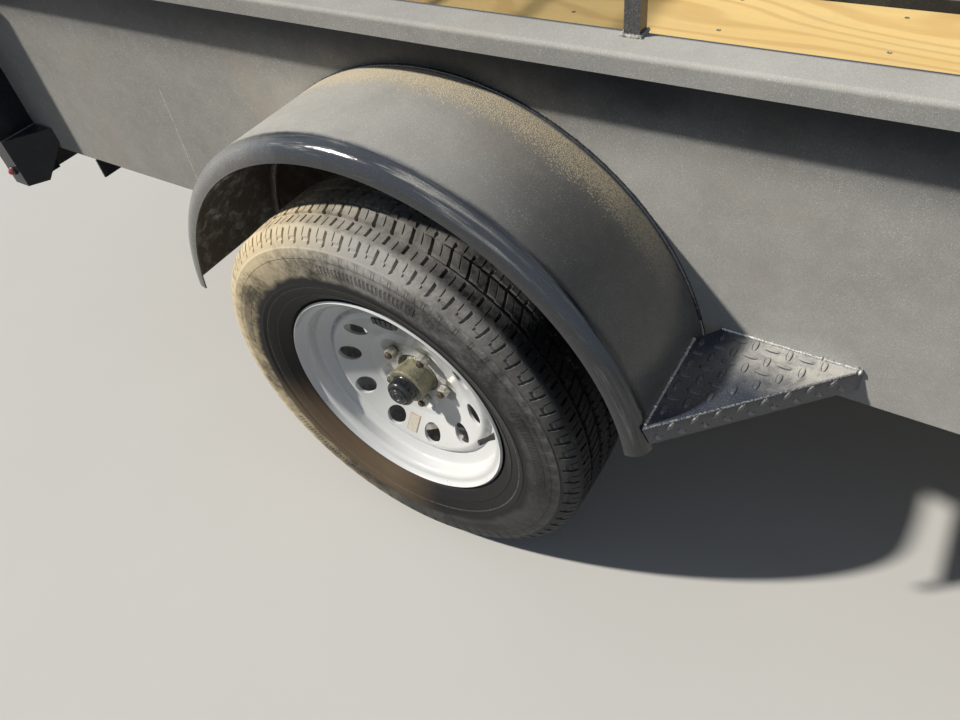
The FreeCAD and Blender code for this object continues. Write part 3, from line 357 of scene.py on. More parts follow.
def fender_rolls_and_shade(f, drift):
    """The fender's rolled edges keep clean, the outer one most, with scuffs, and dust at the outer roll's
    rear that also paints it lit against a front in painted shade; the film also thins by the wall as painted
    shade in the joint.
    """
    across = abs(f.y) + drift * 0.004
    arc, away = fender_polar(f)
    turn = f.math("ARCTAN2", f.z - FENDER_CENTRE_Z, f.x - AXLE_X)
    strip = f.put("CombineXYZ", {0: turn * 2.2, 1: f.y * 95, 2: arc * 60})
    scuffs = f.span(f.noise(1, 4, 0.65, at=strip), 0.5, 0.7, 0, 0.62)
    # Dust on the outer roll's rear, fading forwards: partly painted light at the rear and painted shade in
    # front.
    dusty = f.span(f.x + drift * 0.06, AXLE_X - 0.22, AXLE_X - 0.02, 0.55, 0.04)
    clean = f.most(scuffs * f.span(away, -0.2, 0.5), dusty)
    roll = f.span(across, FENDER_OUTER_Y - 0.031, FENDER_OUTER_Y - 0.021)
    # Less film close to the wall: painted shade where the fender meets it.
    return (1 - roll + roll * clean) * f.span(across, WALL_Y + 0.007, WALL_Y + 0.012, 0.3, 1)


def fender_sand(f):
    """Sand grains that thin out from the fender's inner edge, clear of the wall by a finger's width."""
    across = abs(f.y) - WALL_Y
    near = f.span(across - f.noise(9, 5, 0.75) * 0.05, 0.058, -0.004)
    dense = f.math("POWER", near, 1.35)
    level = f.span(f.look_z, 0.42, 0.8) * f.span(fender_polar(f)[1], 0.7, 0.95)
    chance = f.axes(f.cells(430, output="Color"))[0]
    grains = f.span(dense * 1.5 - chance, 0, 0.06) * f.span(f.cells(430), 0.62, 0.4)
    haze = dense * f.span(f.noise(300, 4, 0.85), 0.36, 0.6, 0.1, 0.8)
    mask = level * f.span(across, 0.008, 0.013) * f.most(grains, haze)
    return mask * f.span(f.look_x, -0.75, -0.35) * 0.95


def fender_mud(f):
    """Mud thrown against the fender's under side."""
    return f.span(fender_polar(f)[1], -0.2, -0.6) * f.span(f.noise(40, 5, 0.7), 0.3, 0.55)


def well_mud_and_shade(f):
    """Mud and old dirt on the wall inside the fender, also painted shade in the wheel well."""
    inside = f.span(fender_polar(f)[0], FENDER_RADIUS - 0.003, FENDER_RADIUS - 0.014)
    outer = f.span(abs(f.y), WALL_Y - 0.0012, WALL_Y - 0.0004)
    return inside * outer * f.span(f.noise(30, 5, 0.7), 0.3, 0.6, 0.8, 1)


def low_mud(f):
    """Road mud on what hangs under the bed."""
    return f.span(f.z, 0.46, 0.3) * f.span(f.noise(30, 5, 0.75), 0.42, 0.62)


def step_dust_light_and_glints(f):
    """Pale dust on the step's level plate, most of it towards the tip where it also paints light, a worn
    fold, and painted glints on the lozenges' crests.
    """
    level = f.span(f.look_z, 0.6, 0.95)
    # Dust follows the lit tip and fades where the fender's shadow falls: partly painted light.
    tip = f.span(f.x + f.noise(9, 4, 0.7) * 0.06, STEP_REAR_X + 0.055, STEP_REAR_X + 0.15)
    wall_side = f.span(abs(f.y) + f.noise(30, 4) * 0.05, WALL_Y + 0.135, WALL_Y + 0.05)
    drift = f.span(f.noise(26, 6, 0.75, twist=0.8), 0.28, 0.6, 0.35, 1)
    dust = level * wall_side * (tip * drift)
    fold = f.span(f.look_z, 0.35, 0.55) * f.span(f.look_z, 0.93, 0.8)
    worn = fold * f.span(f.noise(420, 3, 0.7), 0.44, 0.54, 0, 0.8)
    worn = worn * f.span(f.z, STEP_TOP_Z + 0.0002, STEP_TOP_Z - 0.0004)
    beyond = ((f.x - STEP_REAR_X) + (abs(f.y) - STEP_OUTER_Y)) * math.sqrt(0.5)
    # Painted glints on the lozenges' crests and outward flanks.
    crest_glints = f.most(f.span(f.z, STEP_TOP_Z + 0.0011, STEP_TOP_Z + 0.0017), f.span(beyond, 0.0007, 0.0013))
    outward = f.look_y * f.math("SIGN", f.y)
    crest_glints = crest_glints * f.span(outward, 0.05, 0.3, 0.12, 1)
    crest_glints = crest_glints * f.span(f.noise(260), 0.4, 0.6, 0.15, 0.7)
    return f.most(dust, f.most(worn, crest_glints))


def black_steel(name, dirt):
    """Black brushed-on paint with road dirt."""
    f = Finish(name, (0.02, 0.02, 0.022), Specular_IOR_Level=0.4)
    film = f.span(f.noise(24, 6, 0.75), 0.36, 0.7)
    grain = f.span(f.noise(500, 3, 0.8), 0.35, 0.7)
    amount = (film + grain * 0.3) * dirt
    f.over(f.clamp(amount), (0.22, 0.18, 0.14))
    f.bump(f.noise(160, 4), 0.0006, 0.4)
    return f.done(f.span(amount, 0, 0.6, 0.34, 0.85))


def zinc(name):
    """Zinc plate with its crystal patches, dulled and stained."""
    f = Finish(name, (0.62, 0.62, 0.6), Metallic=0.82)
    shade = f.span(f.axes(f.cells(90, output="Color"))[0], 0, 1, 0, 0.35)
    stain = f.span(f.noise(20, 5, 0.7), 0.45, 0.72)
    f.over(shade, (0.42, 0.43, 0.43))
    f.over(stain * 0.55, (0.3, 0.25, 0.19))
    f.bump(f.noise(240), 0.0003, 0.35)
    return f.done(f.span(stain, 0, 1, 0.34, 0.62))


def wood(name):
    """Pine face veneer: long cathedral grain, a few knots and a film of grey dust."""
    f = Finish(name, (0.93, 0.69, 0.3), Specular_IOR_Level=0.25)
    bend = f.noise(1.1, 2, 0.5, at=f.moved((0.55, 1.6, 1)))
    rings = f.math("SINE", (f.y * 26 + bend * 34) * 2.6)
    late = f.span(rings, 0.15, 0.98)
    fibre = f.noise(1, 5, 0.7, at=f.moved((9, 420, 60)))
    broad = f.span(f.noise(1, at=f.moved((0.5, 5, 1))), 0.3, 0.7)
    f.over(broad, (0.87, 0.6, 0.235))
    f.over(late * 0.42, (0.6, 0.34, 0.11))
    f.over(f.span(fibre, 0.35, 0.75, 0, 0.3), (0.97, 0.8, 0.46))
    knot = f.cells(1, at=f.moved((1.1, 3.2, 1), shift=(0.25, 0.1, 0)))
    f.over(f.span(knot, 0.06, 0.022), (0.2, 0.085, 0.03))
    f.over(f.span(knot, 0.12, 0.05, 0, 0.35), (0.45, 0.22, 0.08))
    f.over(f.span(f.noise(6, 6, 0.75), 0.48, 0.78) * 0.22, (0.58, 0.5, 0.38))
    edge = f.span(f.look_z, 0.5, 0.2)
    ply = f.math("SINE", f.z * 2400)
    f.over(edge * f.span(ply, -0.2, 0.4), (0.42, 0.26, 0.12))
    f.bump(fibre + late * -0.4, 0.0006, 0.5)
    return f.done(f.span(late, 0, 1, 0.62, 0.5))


BEAD_RADIUS = 0.249
SHOULDER_RADIUS = 0.325
GROOVE_RADIUS = 0.3362


def ring_mask(f, radius, inner, outer, edge=0.0006):
    """1 between two radii, fading inwards over the edge's width."""
    return f.span(radius, inner, inner + edge) * f.span(radius, outer, outer - edge)


def rubber(name):
    """Tyre rubber: dusty tread and shoulder, with more and warmer film towards the upper rear that is partly
    painted sunlight, and less towards the lower front as painted shade; blotched side wall, dark wet-looking
    zone by the rim.
    """
    f = Finish(name, (0.014, 0.0135, 0.014), Specular_IOR_Level=0.16)
    radius = f.radius(f.x, f.z)
    smear = f.noise(11, 6, 0.72, twist=0.3)
    fine = f.noise(150, 5, 0.8)
    crumbs = f.noise(620, 3, 0.8)
    film = f.span(smear + fine * 0.5, 0.52, 0.92)
    low = f.noise(8, 4, 0.7) * 0.035 + BEAD_RADIUS
    dry = f.span(radius - low, -0.006, 0.006)
    shoulder = f.span(radius, 0.29, SHOULDER_RADIUS)
    # More film towards the upper rear, less towards the lower front: painted light and shade.
    slant = f.x * -0.85 + f.z * 0.55
    high = f.span(slant + smear * 0.14, -0.2, 0.3, 0.22, 1.35)
    amount = dry * (film * 0.56 + shoulder * 0.46) * high
    flat = f.span(abs(f.y), 0.08, 0.066)
    amount = amount - flat * f.span(fine, 0.3, 0.7, 0.25, 0.6)
    crust = f.span(crumbs, 0.45, 0.72) * (dry * 0.08 + 0.015)
    splash = f.span(f.noise(34, 6, 0.8), 0.56, 0.7) * (dry * 0.3)
    amount = f.clamp(f.most(amount, splash) + crust)
    # Warmer, paler film colour towards the rear: partly painted sunlight.
    f.over(amount, f.mix(f.span(f.x, 0.05, -0.2), (0.44, 0.43, 0.41), (0.74, 0.62, 0.42)))
    behind = f.span(f.x + smear * 0.06, 0.1, -0.03)
    brown = (1 - dry) * behind * f.span(f.z, -0.02, -0.12)
    f.over(brown * 0.85, f.mix(crumbs, (0.13, 0.088, 0.055), (0.2, 0.15, 0.1)))
    flecks = f.span(f.cells(260), 0.17, 0.06) * f.span(fine, 0.5, 0.62)
    f.over(flecks * 0.5, (0.42, 0.34, 0.26))
    ring = ring_mask(f, radius, 0.2455, 0.248, 0.0008)
    f.over(ring * f.span(fine, 0.35, 0.65, 0, 0.6), (0.26, 0.24, 0.21))
    under_tread = flat * f.span(radius, GROOVE_RADIUS + 0.001, GROOVE_RADIUS - 0.001)
    f.over(under_tread * 0.65, (0.03, 0.028, 0.026))
    turn = f.math("ARCTAN2", f.z, f.x)
    hatch = f.span(f.math("SINE", turn * 260), -0.3, 0.3)
    blocks = f.span(f.math("SINE", turn * 5 + 0.6), 0.1, 0.14)
    band = ring_mask(f, radius, 0.277, 0.293)
    edges = f.most(ring_mask(f, radius, 0.277, 0.28), ring_mask(f, radius, 0.29, 0.293))
    raised = blocks * f.most(edges, band * hatch)
    f.over(blocks * band * (1 - hatch) * 0.45, (0.03, 0.029, 0.028))
    f.bump(f.most(raised, ring_mask(f, radius, 0.3, 0.303)), 0.0022)
    f.bump(fine * 0.5 + crumbs, 0.0007, 0.5)
    return f.done(f.span(amount, 0, 0.5, 0.52, 0.88))


def enamel(name):
    """White wheel enamel with thin grime round the nuts, dark pecks and a rusty joint line."""
    f = Finish(name, (0.74, 0.75, 0.755), Specular_IOR_Level=0.55, Coat_Weight=0.35, Coat_Roughness=0.1)
    radius = f.radius(f.x - AXLE_X, f.z - WHEEL_Z)
    film = f.span(f.noise(16, 6, 0.7), 0.45, 0.8, 0, 0.3)
    grime = f.span(radius, 0.092, 0.045) * f.span(f.noise(45, 5, 0.75), 0.38, 0.66)
    f.over(film, (0.62, 0.6, 0.55))
    f.over(grime * 0.8, (0.3, 0.26, 0.19))
    pecks = f.span(f.cells(75), 0.085, 0.03) * f.span(f.noise(21), 0.56, 0.62)
    f.over(pecks, (0.12, 0.1, 0.08))
    joint = f.span(radius, 0.1535, 0.1565) * f.span(radius, 0.1625, 0.159)
    f.over(joint * f.span(f.noise(60), 0.35, 0.6, 0.1, 0.55), (0.22, 0.16, 0.1))
    f.bump(f.noise(35), 0.0005, 0.2)
    return f.done(f.span(film + grime, 0, 1, 0.24, 0.7))


def greasy_iron(name):
    """Olive grey cast iron, wet with grease and grit."""
    f = Finish(name, (0.36, 0.335, 0.22), Metallic=0.25, Specular_IOR_Level=0.6)
    grease = f.span(f.noise(48, 6, 0.8), 0.34, 0.74)
    grit = f.span(f.noise(330, 4, 0.8), 0.5, 0.66)
    f.over(grease, (0.12, 0.112, 0.078))
    f.over(grit * 0.4, (0.44, 0.4, 0.28))
    f.bump(grit + grease, 0.0009, 0.7)
    return f.done(f.span(grease, 0, 1, 0.55, 0.22))


def lens(name, colour, body):
    """Moulded lamp plastic with faint scuffs."""
    f = Finish(name, colour, Specular_IOR_Level=0.6, Coat_Weight=0.5, Coat_Roughness=0.06)
    dull = f.span(f.noise(50, 5, 0.7), 0.45, 0.75)
    f.over(dull * 0.35, body)
    f.bump(f.noise(300, 2), 0.0002, 0.25)
    return f.done(f.span(dull, 0, 1, 0.12, 0.38))


def simple(name, colour, other, rough, scale=80, depth=0.0004, **settings):
    """Two close tones in a noise, with a light relief."""
    f = Finish(name, colour, **settings)
    tone = f.span(f.noise(scale, 5, 0.7), 0.35, 0.68)
    f.over(tone, other)
    f.bump(f.noise(scale * 4), depth, 0.4)
    return f.done(f.span(tone, 0, 1, rough, min(1, rough + 0.18)))


FINISHES = {
    "wall": charcoal("charcoal_wall", 0.82, 0.14, shine=0.14, wipe=under_rim_dust_and_shade, mud=well_mud_and_shade, scratch=True,
                     ahead=WALL_DUST_AND_LIGHT_AHEAD),
    "trim": charcoal("charcoal_trim", 0.3, 0.14, lee_clean_and_shade=0.6),
    # Posts and lamp guards with hardly any dust: a darker copy of the charcoal, painted shade.
    "post": charcoal("charcoal_post_shaded", 0.06, 0.12, rise=0.03, lee_clean_and_shade=0.6, shine=0.2),
    "fender": charcoal("charcoal_fender", 0.66, 0.08, rise=0.12, lee_clean_and_shade=0.62, shine=0.6, wipe=fender_rolls_and_shade,
                       band=fender_sand, mud=fender_mud),
    "under": charcoal("charcoal_under", 0.16, 0.3, shine=0.2, mud=low_mud),
    "step": charcoal("charcoal_step", 0.05, 0.18, rise=0.02, shine=0.55, band=step_dust_light_and_glints, paint=STEP_PAINT_SKY_LIT,
                     band_colours=STEP_DUST_AND_GLINT),
    "black": black_steel("road_black", 0.45),
    "coupler": black_steel("coupler_black", 0.25),
    "zinc": zinc("zinc_plate"),
    "wood": wood("pine_deck"),
    "rubber": rubber("tyre_rubber"),
    "enamel": enamel("wheel_enamel"),
    "iron": greasy_iron("hub_iron"),
    "red": lens("lens_red", (0.55, 0.01, 0.012), (0.34, 0.05, 0.04)),
    "amber": lens("lens_amber", (0.85, 0.24, 0.01), (0.5, 0.2, 0.06)),
    "plate": simple("blank_plate", (0.74, 0.74, 0.72), (0.62, 0.61, 0.57), 0.35),
    "plug": simple("black_rubber", (0.018, 0.018, 0.02), (0.05, 0.048, 0.045), 0.42, 60),
    "cap": simple("black_cap", (0.014, 0.015, 0.018), (0.03, 0.03, 0.032), 0.16, 60),
    "grip": simple("black_grip", (0.03, 0.03, 0.032), (0.07, 0.065, 0.06), 0.55, 60),
    "weld": simple("painted_weld", (0.1, 0.1, 0.1), (0.3, 0.29, 0.27), 0.34, 240, 0.0008),
    "raw_weld": simple("chipped_weld", (0.16, 0.155, 0.15), (0.62, 0.6, 0.56), 0.4, 260, 0.001),
    "nut": simple("dull_nut", (0.6, 0.58, 0.52), (0.3, 0.27, 0.21), 0.34, 160, 0.0005, Metallic=0.6),
    "stud": simple("brown_stud", (0.12, 0.085, 0.055), (0.035, 0.027, 0.02), 0.45, 200, 0.0005,
                   Metallic=0.3),
    # Near-black bead that also paints the shade in the fender's joint with the wall.
    "bead": simple("gloss_bead_gap_shade", (0.02, 0.021, 0.025), (0.06, 0.06, 0.06), 0.1, 90, 0.0004,
                   Coat_Weight=0.8, Coat_Roughness=0.05),
    "chrome_weld": simple("bright_weld", (0.3, 0.3, 0.3), (0.82, 0.81, 0.78), 0.28, 420, 0.0012,
                          Metallic=0.35),
    "screw": simple("screw_head", (0.42, 0.4, 0.34), (0.22, 0.19, 0.14), 0.38, 120, Metallic=0.8),
    "label_edge": simple("faded_orange", (0.55, 0.33, 0.17), (0.66, 0.5, 0.36), 0.5, 90),
    "label_face": simple("old_paper", (0.7, 0.66, 0.58), (0.62, 0.56, 0.46), 0.6, 160),
}

# Nodes of each finish, with * for right and left
NODE_FINISH = {
    "wall": "side_panel_* front_panel",
    "trim": "upper_rail_* upper_rail_front gate_frame gate_catches gate_mesh",
    "post": "rear_posts lamp_guards",
    "fender": "fender_*",
    "step": "step_*",
    "under": "side_rail_* front_header rear_header crossmembers tongue_beam_*",
    "black": "axle leaf_springs spring_hangers",
    "coupler": "coupler",
    "zinc": "axle_clamps coupler_latch jack_tube jack_crank jack_leg lug_nuts_*",
    "wood": "deck_rear deck_front",
    "rubber": "tyre_*",
    "enamel": "wheel_rim_*",
    "iron": "hub_* hub_cap_*",
    "red": "tail_lamps rear_markers",
    "amber": "front_markers",
    "plate": "number_plate",
}


def dress_nodes():
    """Gives each carried-over node its finish."""
    for key, names in NODE_FINISH.items():
        for name in {name.replace("*", label) for name in names.split() for label, _ in SIDES}:
            mesh = nodes[name].data
            mesh.materials.clear()
            mesh.materials.append(FINISHES[key])


# Mesh helpers

UP = Vector((0, 0, 1))
CORNERS = ((-1, -1), (1, -1), (1, 1), (-1, 1))
WELD_SIDES = 7


def polar(radius, turn, out):
    """Point at a turn about local Z in radians, and out along it."""
    return Vector((radius * math.cos(turn), radius * math.sin(turn), out))


def grid_faces(rows, columns, loop=True, ring=False, back=False):
    """Faces over a grid of points, row after row.

    loop joins the last column to the first, ring joins the last row to the first, and back turns the
    faces over.
    """
    faces = []
    for row in range(rows if ring else rows - 1):
        low = row * columns
        high = (row + 1) % rows * columns
        for column in range(columns if loop else columns - 1):
            after = (column + 1) % columns
            face = (low + column, low + after, high + after, high + column)
            faces.append(face[:1] + face[:0:-1] if back else face)
    return faces


def closed_faces(rows, sides, back=False):
    """Faces over a stack of rings, with one more on each end."""
    step = -1 if back else 1
    first = tuple(range(sides))[::-step]
    last = tuple(range((rows - 1) * sides, rows * sides))[::step]
    return grid_faces(rows, sides, back=back) + [first, last]


def new_mesh(name, points, faces):
    mesh = bpy.data.meshes.new(name)
    mesh.from_pydata(points, [], faces)
    mesh.update()
    return mesh


def place_mesh(name, mesh, finish, body, smooth=0.6, at=None):
    """Piece that rides on a body; smooth is the crease angle in radians, 0 for flat faces."""
    mesh.materials.append(FINISHES[finish])
    thing = bpy.data.objects.new(name, mesh)
    bpy.context.scene.collection.objects.link(thing)
    if at is not None:
        thing.matrix_world = at
    if smooth:
        mesh.shade_smooth()
        mesh.set_sharp_from_angle(angle=smooth)
    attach(thing, body)
    return thing


class Heap:
    """Points and faces gathered for one joined mesh."""

    def __init__(self):
        self.points = []
        self.faces = []

    def add(self, points, faces, place=None):
        start = len(self.points)
        self.points += [place @ Vector(point) for point in points] if place else points
        self.faces += [tuple(start + index for index in face) for face in faces]

    def turned(self, profile, sides, place):
        """Closed solid of revolution about local Z, from (radius, height) pairs."""
        points = [polar(radius, 2 * math.pi * index / sides, height)
                  for radius, height in profile for index in range(sides)]
        self.add(points, closed_faces(len(profile), sides), place)

    def bar(self, start, end, across, half_width, half_height):
        """Four-sided bar between two points, its width along across."""
        start, end = Vector(start), Vector(end)
        along = (end - start).normalized()
        wide = (Vector(across) - along * Vector(across).dot(along)).normalized()
        high = along.cross(wide)
        points = []
        for middle in (start, end):
            for u, v in CORNERS:
                points.append(middle + wide * (u * half_width) + high * (v * half_height))
        self.add(points, closed_faces(2, 4))

    def tube(self, path, radii, sides, closed):
        """Round tube through points, with a radius at each."""
        count = len(path)
        points = []
        for index, middle in enumerate(path):
            before = path[index - 1] if index or closed else middle
            after = path[(index + 1) % count] if index < count - 1 or closed else middle
            along = (after - before).normalized()
            side = along.cross(UP)
            if side.length < 0.05:
                side = along.cross(Vector((1, 0, 0)))
            side.normalize()
            over = side.cross(along)
            for step in range(sides):
                turn = 2 * math.pi * step / sides
                points.append(middle + (side * math.cos(turn) + over * math.sin(turn)) * radii[index])
        self.add(points, grid_faces(count, sides, ring=True) if closed else closed_faces(count, sides))

    def weld(self, corners, radius, pitch, seed, closed=False, sag=0.16):
        """Bead of overlapping ripples along a line through corners."""
        chance = random.Random(seed)
        line = [Vector(corner) for corner in corners]
        if closed:
            line.append(line[0])
        path = []
        radii = []
        for start, end in zip(line, line[1:]):
            steps = max(1, round(2 * (end - start).length / pitch))
            for index in range(steps):
                path.append(start.lerp(end, index / steps))
                size = 1 if len(path) % 2 else 1 - sag
                radii.append(radius * size * chance.uniform(0.88, 1.12))
        if not closed:
            path.append(line[-1])
            radii.append(radius * 0.5)
        self.tube(path, radii, WELD_SIDES, closed)

    def piece(self, name, finish, body, smooth=0.6):
        return place_mesh(name, new_mesh(name, self.points, self.faces), finish, body, smooth)


def looking(point, direction):
    """Matrix at a point with its Z along a direction."""
    turn = Vector(direction).to_track_quat("Z", "Y").to_matrix().to_4x4()
    return Matrix.Translation(Vector(point)) @ turn


def middle_of(box):
    low, high = box
    return (low + high) / 2


def bolt_head(heap, point, direction, size, height, washer=True):
    """Hexagon head on a round washer; size is its half width across corners."""
    place = looking(point, direction)
    base = 0
    if washer:
        base = size * 0.18
        heap.turned([(size * 1.35, 0), (size * 1.35, base * 0.7), (size * 1.25, base), (size * 0.5, base)],
                    20, place)
    heap.turned([(size, base * 0.9), (size, base + height * 0.82), (size * 0.86, base + height),
                 (size * 0.3, base + height)], 6, place)


def turned_piece(name, finish, body, profile, sides, place):
    """Piece of one turned solid."""
    heap = Heap()
    heap.turned(profile, sides, place)
    return heap.piece(name, finish, body, 0.7)


# Tyres

MILLIMETRE = 0.001
PITCHES = 72
CUT_LINES = (-0.086, -0.066, 0.066, 0.086, 0.27, 0.462, 0.476, 0.524, 0.538, 0.73)
WIDE_CUT = (1, 2)
NARROW_CUT = (6, 7)
NOTCH_LINES = (3, 4, 5)
CUTS_LEAN_FROM = 74
CUTS_LEAN_OVER = 26
LINING_IN = (3, 4)
# Rows from the middle of the tread to the bead: distance from the middle, radius, wide cut depth, narrow
# cut depth, shift along the pitch, notch outwards over part of each pitch, depth of the link between a
# slot and the next sipe, and height of the radial ribs. All are mm, and zeros at a row's end are left out
TYRE_ROWS = (
    (0, 344, 0, 3, 0.5), (5.5, 344, 0, 3, 0.48), (7.5, 344, 3.5, 3, 0.47), (11, 343.9, 4, 3, 0.46, 1.2),
    (12, 337, 0, 0, 0.46, 1.2), (18, 337, 0, 0, 0.44, 1.2), (19, 343.8, 5, 0, 0.44, 1.2),
    (24, 343.7, 5, 1.8, 0.36), (29.5, 343.5, 5, 2.4, 0.28), (35, 343.3, 5, 1.8, 0.2),
    (39.6, 343.1, 5, 0, 0.14, 2.4), (40.6, 336.5, 0, 0, 0.12, 2.4), (46, 336.3, 0, 0, 0.05),
    (47, 342.8, 0, 0, 0.04), (49, 342.6, 0, 0, 0.03), (50, 342.5, 5, 0, 0.02), (54, 342.3, 5, 2.6, 0.01),
    (61, 341.9, 5, 2.6), (65.5, 341.6, 4, 2.6), (66.5, 341.5, 0, 2), (68.5, 341.2), (73, 340.2),
    (75.2, 339.2, 0, 1.6), (76.2, 338.6, 4.6, 2.2), (79.2, 336.2, 5, 2.2), (82, 333.4, 5, 2, 0.01),
    (84.2, 330.8, 4.4, 0, 0.02), (85.6, 328.9, 4, 0, 0.03, 0, 1.5), (86.7, 327.2, 3.6, 0, 0.04, 0, 1.5),
    (87.7, 325.4, 3, 0, 0.05), (89.3, 322.2, 2.2, 0, 0.08), (90.1, 320.4, 0, 0, 0.1),
    (91, 318.4, 0, 0, 0.12), (91.7, 316.8), (92.9, 315.6), (93.2, 314.2), (93.1, 313.2, 0, 0, 0, 0, 0, 0.4),
    (94.6, 306, 0, 0, 0, 0, 0, 0.5), (95.6, 300.5, 0, 0, 0, 0, 0, 0.4), (96.2, 297.5), (97, 290),
    (97.2, 289), (97.5, 280), (97.4, 268), (97.1, 264), (96, 256.5), (96.6, 255), (96.2, 253), (95, 251.5),
    (93.2, 246), (90.4, 238), (87.2, 231.5), (87.7, 229.8), (85.6, 226.5), (84.2, 224.8), (80.3, 219),
    (77.2, 214.5), (75, 212), (72.5, 210.4), (68, 208), (65.2, 203),
)


def tyre_mesh():
    """Whole tyre about local Y from a grid: rows across it, ten cut lines in each tread pitch."""
    turn = 2 * math.pi / PITCHES
    base = np.array([pitch + cut for pitch in range(PITCHES) for cut in CUT_LINES])
    spot = np.tile(np.arange(len(CUT_LINES)), PITCHES)
    wide = np.isin(spot, WIDE_CUT)
    narrow = np.isin(spot, NARROW_CUT)
    notched = np.isin(spot, NOTCH_LINES)
    half = []
    for row in TYRE_ROWS:
        out, radius, wide_cut, narrow_cut, shift, notch, link, rib = row + (0,) * (8 - len(row))
        lean = min(1, max(0, (out - CUTS_LEAN_FROM) / CUTS_LEAN_OVER)) * math.pi / 2
        depth = wide_cut * wide + narrow_cut * narrow + link * notched - rib * (spot % 2)
        half.append((radius - depth * math.cos(lean), out - depth * math.sin(lean) + notch * notched,
                     (base + shift) * turn))
    rings = [(r, -y, around) for r, y, around in reversed(half)]
    rings += [(r, y, around + turn / 2) for r, y, around in half[1:]]
    bead_out, bead_radius = TYRE_ROWS[-1]
    lining = np.full(len(base), bead_out - LINING_IN[0])
    rings += [(bead_radius - LINING_IN[1], side * lining, base * turn) for side in (1, -1)]
    points = [np.column_stack((r * np.cos(around), y, r * np.sin(around))) * MILLIMETRE
              for r, y, around in rings]
    return new_mesh("tyre", np.concatenate(points).tolist(), grid_faces(len(rings), len(base), ring=True))


def tyres():
    for label, side in SIDES:
        turn = Matrix.Rotation(0 if side < 0 else math.pi, 4, "Z")
        made = place_mesh("tyre_" + label + "_tread", tyre_mesh(), "rubber", "wheel_" + label,
                          0.5, Matrix.Translation(middle_of(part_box("tyre_" + label))) @ turn)
        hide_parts("tyre_" + label)


# Wheel pieces: radius from the wheel's axis, angle from the front in degrees, distance out of its middle

LUG_COUNT = 5
LUG_CIRCLE = 0.05715
LUG_FIRST = -10
LUG_BASE = 0.005
LUG_TURN = 0.3
LUG_NUT = ((0.0072, 0), (0.0104, 0.003), (0.0108, 0.0036), (0.0108, 0.015), (0.01, 0.0166),
           (0.0078, 0.0168), (0.0074, 0.016), (0.007, 0.012))
THREADS = 9
THREAD_PITCH = 0.0012
VENT_COUNT = 10
VENT_CIRCLE = 0.126
VENT_FIRST = 28.5
VENT_RADIUS = 0.0182
DUST_CAP = ((0.0215, 0.0392), (0.0256, 0.0396), (0.0262, 0.0412), (0.0256, 0.0428), (0.0249, 0.0436),
            (0.0248, 0.0556), (0.024, 0.059), (0.022, 0.0612), (0.0196, 0.0618), (0.0186, 0.0606),
            (0.0176, 0.0608), (0.017, 0.0636), (0.0158, 0.0658), (0.0138, 0.0662), (0.0126, 0.065),
            (0.01, 0.0649), (0.0094, 0.0662), (0.0072, 0.0666), (0.0064, 0.0652), (0.003, 0.0651),
            (0.0026, 0.066), (0.0002, 0.066))
VALVE_ROOT = (0.1745, -13, 0.033)
VALVE_TIP = (0.157, -13, 0.0635)
VALVE = ((0.0062, -0.001), (0.0066, 0.004), (0.005, 0.01), (0.004, 0.016), (0.004, 0.024),
         (0.0048, 0.0245), (0.0048, 0.0335), (0.0042, 0.035), (0.0001, 0.0352))
WEIGHTS = 5
WEIGHT_RADIUS = 0.1455
WEIGHT_FIRST = 84
WEIGHT_STEP = 3.9
WEIGHT_LONG = 3.1
WEIGHT_OUT = 0.0405
HUB_SEAL = ((0.0335, -0.064), (0.035, -0.0635), (0.0355, -0.06), (0.0335, -0.059))
LABEL_RADIUS = 0.1205
LABEL_ANGLE = -99
LABELS = (("border", "label_edge", 0.016, 5, 0.0007), ("face", "label_face", 0.0147, 4.4, 0.0011))
DISC_INNER = (0.095, 0.008)
DISC_OUTER = (0.149, 0.035)
DISC_SHEET = 0.0057


def wheel_place(label, side):
    """Matrix at a wheel's middle whose Z points out of its outer face, and X forward."""
    axes = Matrix(((1, 0, 0), (0, 0, side), (0, 1, 0))).to_4x4()
    return Matrix.Translation(middle_of(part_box("tyre_" + label))) @ axes


def on_wheel(radius, angle, out):
    return polar(radius, math.radians(angle), out)


def rims():
    """Rims whose vents are opened to the width in the photograph."""
    for label, side in SIDES:
        node = nodes["wheel_rim_" + label]
        place = wheel_place(label, side)
        cutters = Heap()
        for index in range(VENT_COUNT):
            low = place @ on_wheel(VENT_CIRCLE, VENT_FIRST + index * 360 / VENT_COUNT, 0)
            cutters.turned([(VENT_RADIUS, -0.01), (VENT_RADIUS, 0.06)], 40, looking(low, (0, side, 0)))
        tool = bpy.data.objects.new("vent_cutters", new_mesh("vent_cutters", cutters.points, cutters.faces))
        rim = bpy.data.objects.new("rim_blank", node.data.copy())
        for thing in (tool, rim):
            bpy.context.scene.collection.objects.link(thing)
        rim.matrix_world = node.matrix_world
        cut = rim.modifiers.new("vents", "BOOLEAN")
        cut.operation = "DIFFERENCE"
        cut.solver = "EXACT"
        cut.object = tool
        shaped = bpy.data.meshes.new_from_object(rim.evaluated_get(bpy.context.evaluated_depsgraph_get()))
        where = rim.matrix_world.copy()
        for thing in (tool, rim):
            bpy.data.objects.remove(thing)
        shaped.materials.clear()
        made = place_mesh("wheel_rim_" + label + "_vented", shaped, "enamel", "wheel_" + label,
                          0.5, where)
        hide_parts("wheel_rim_" + label)


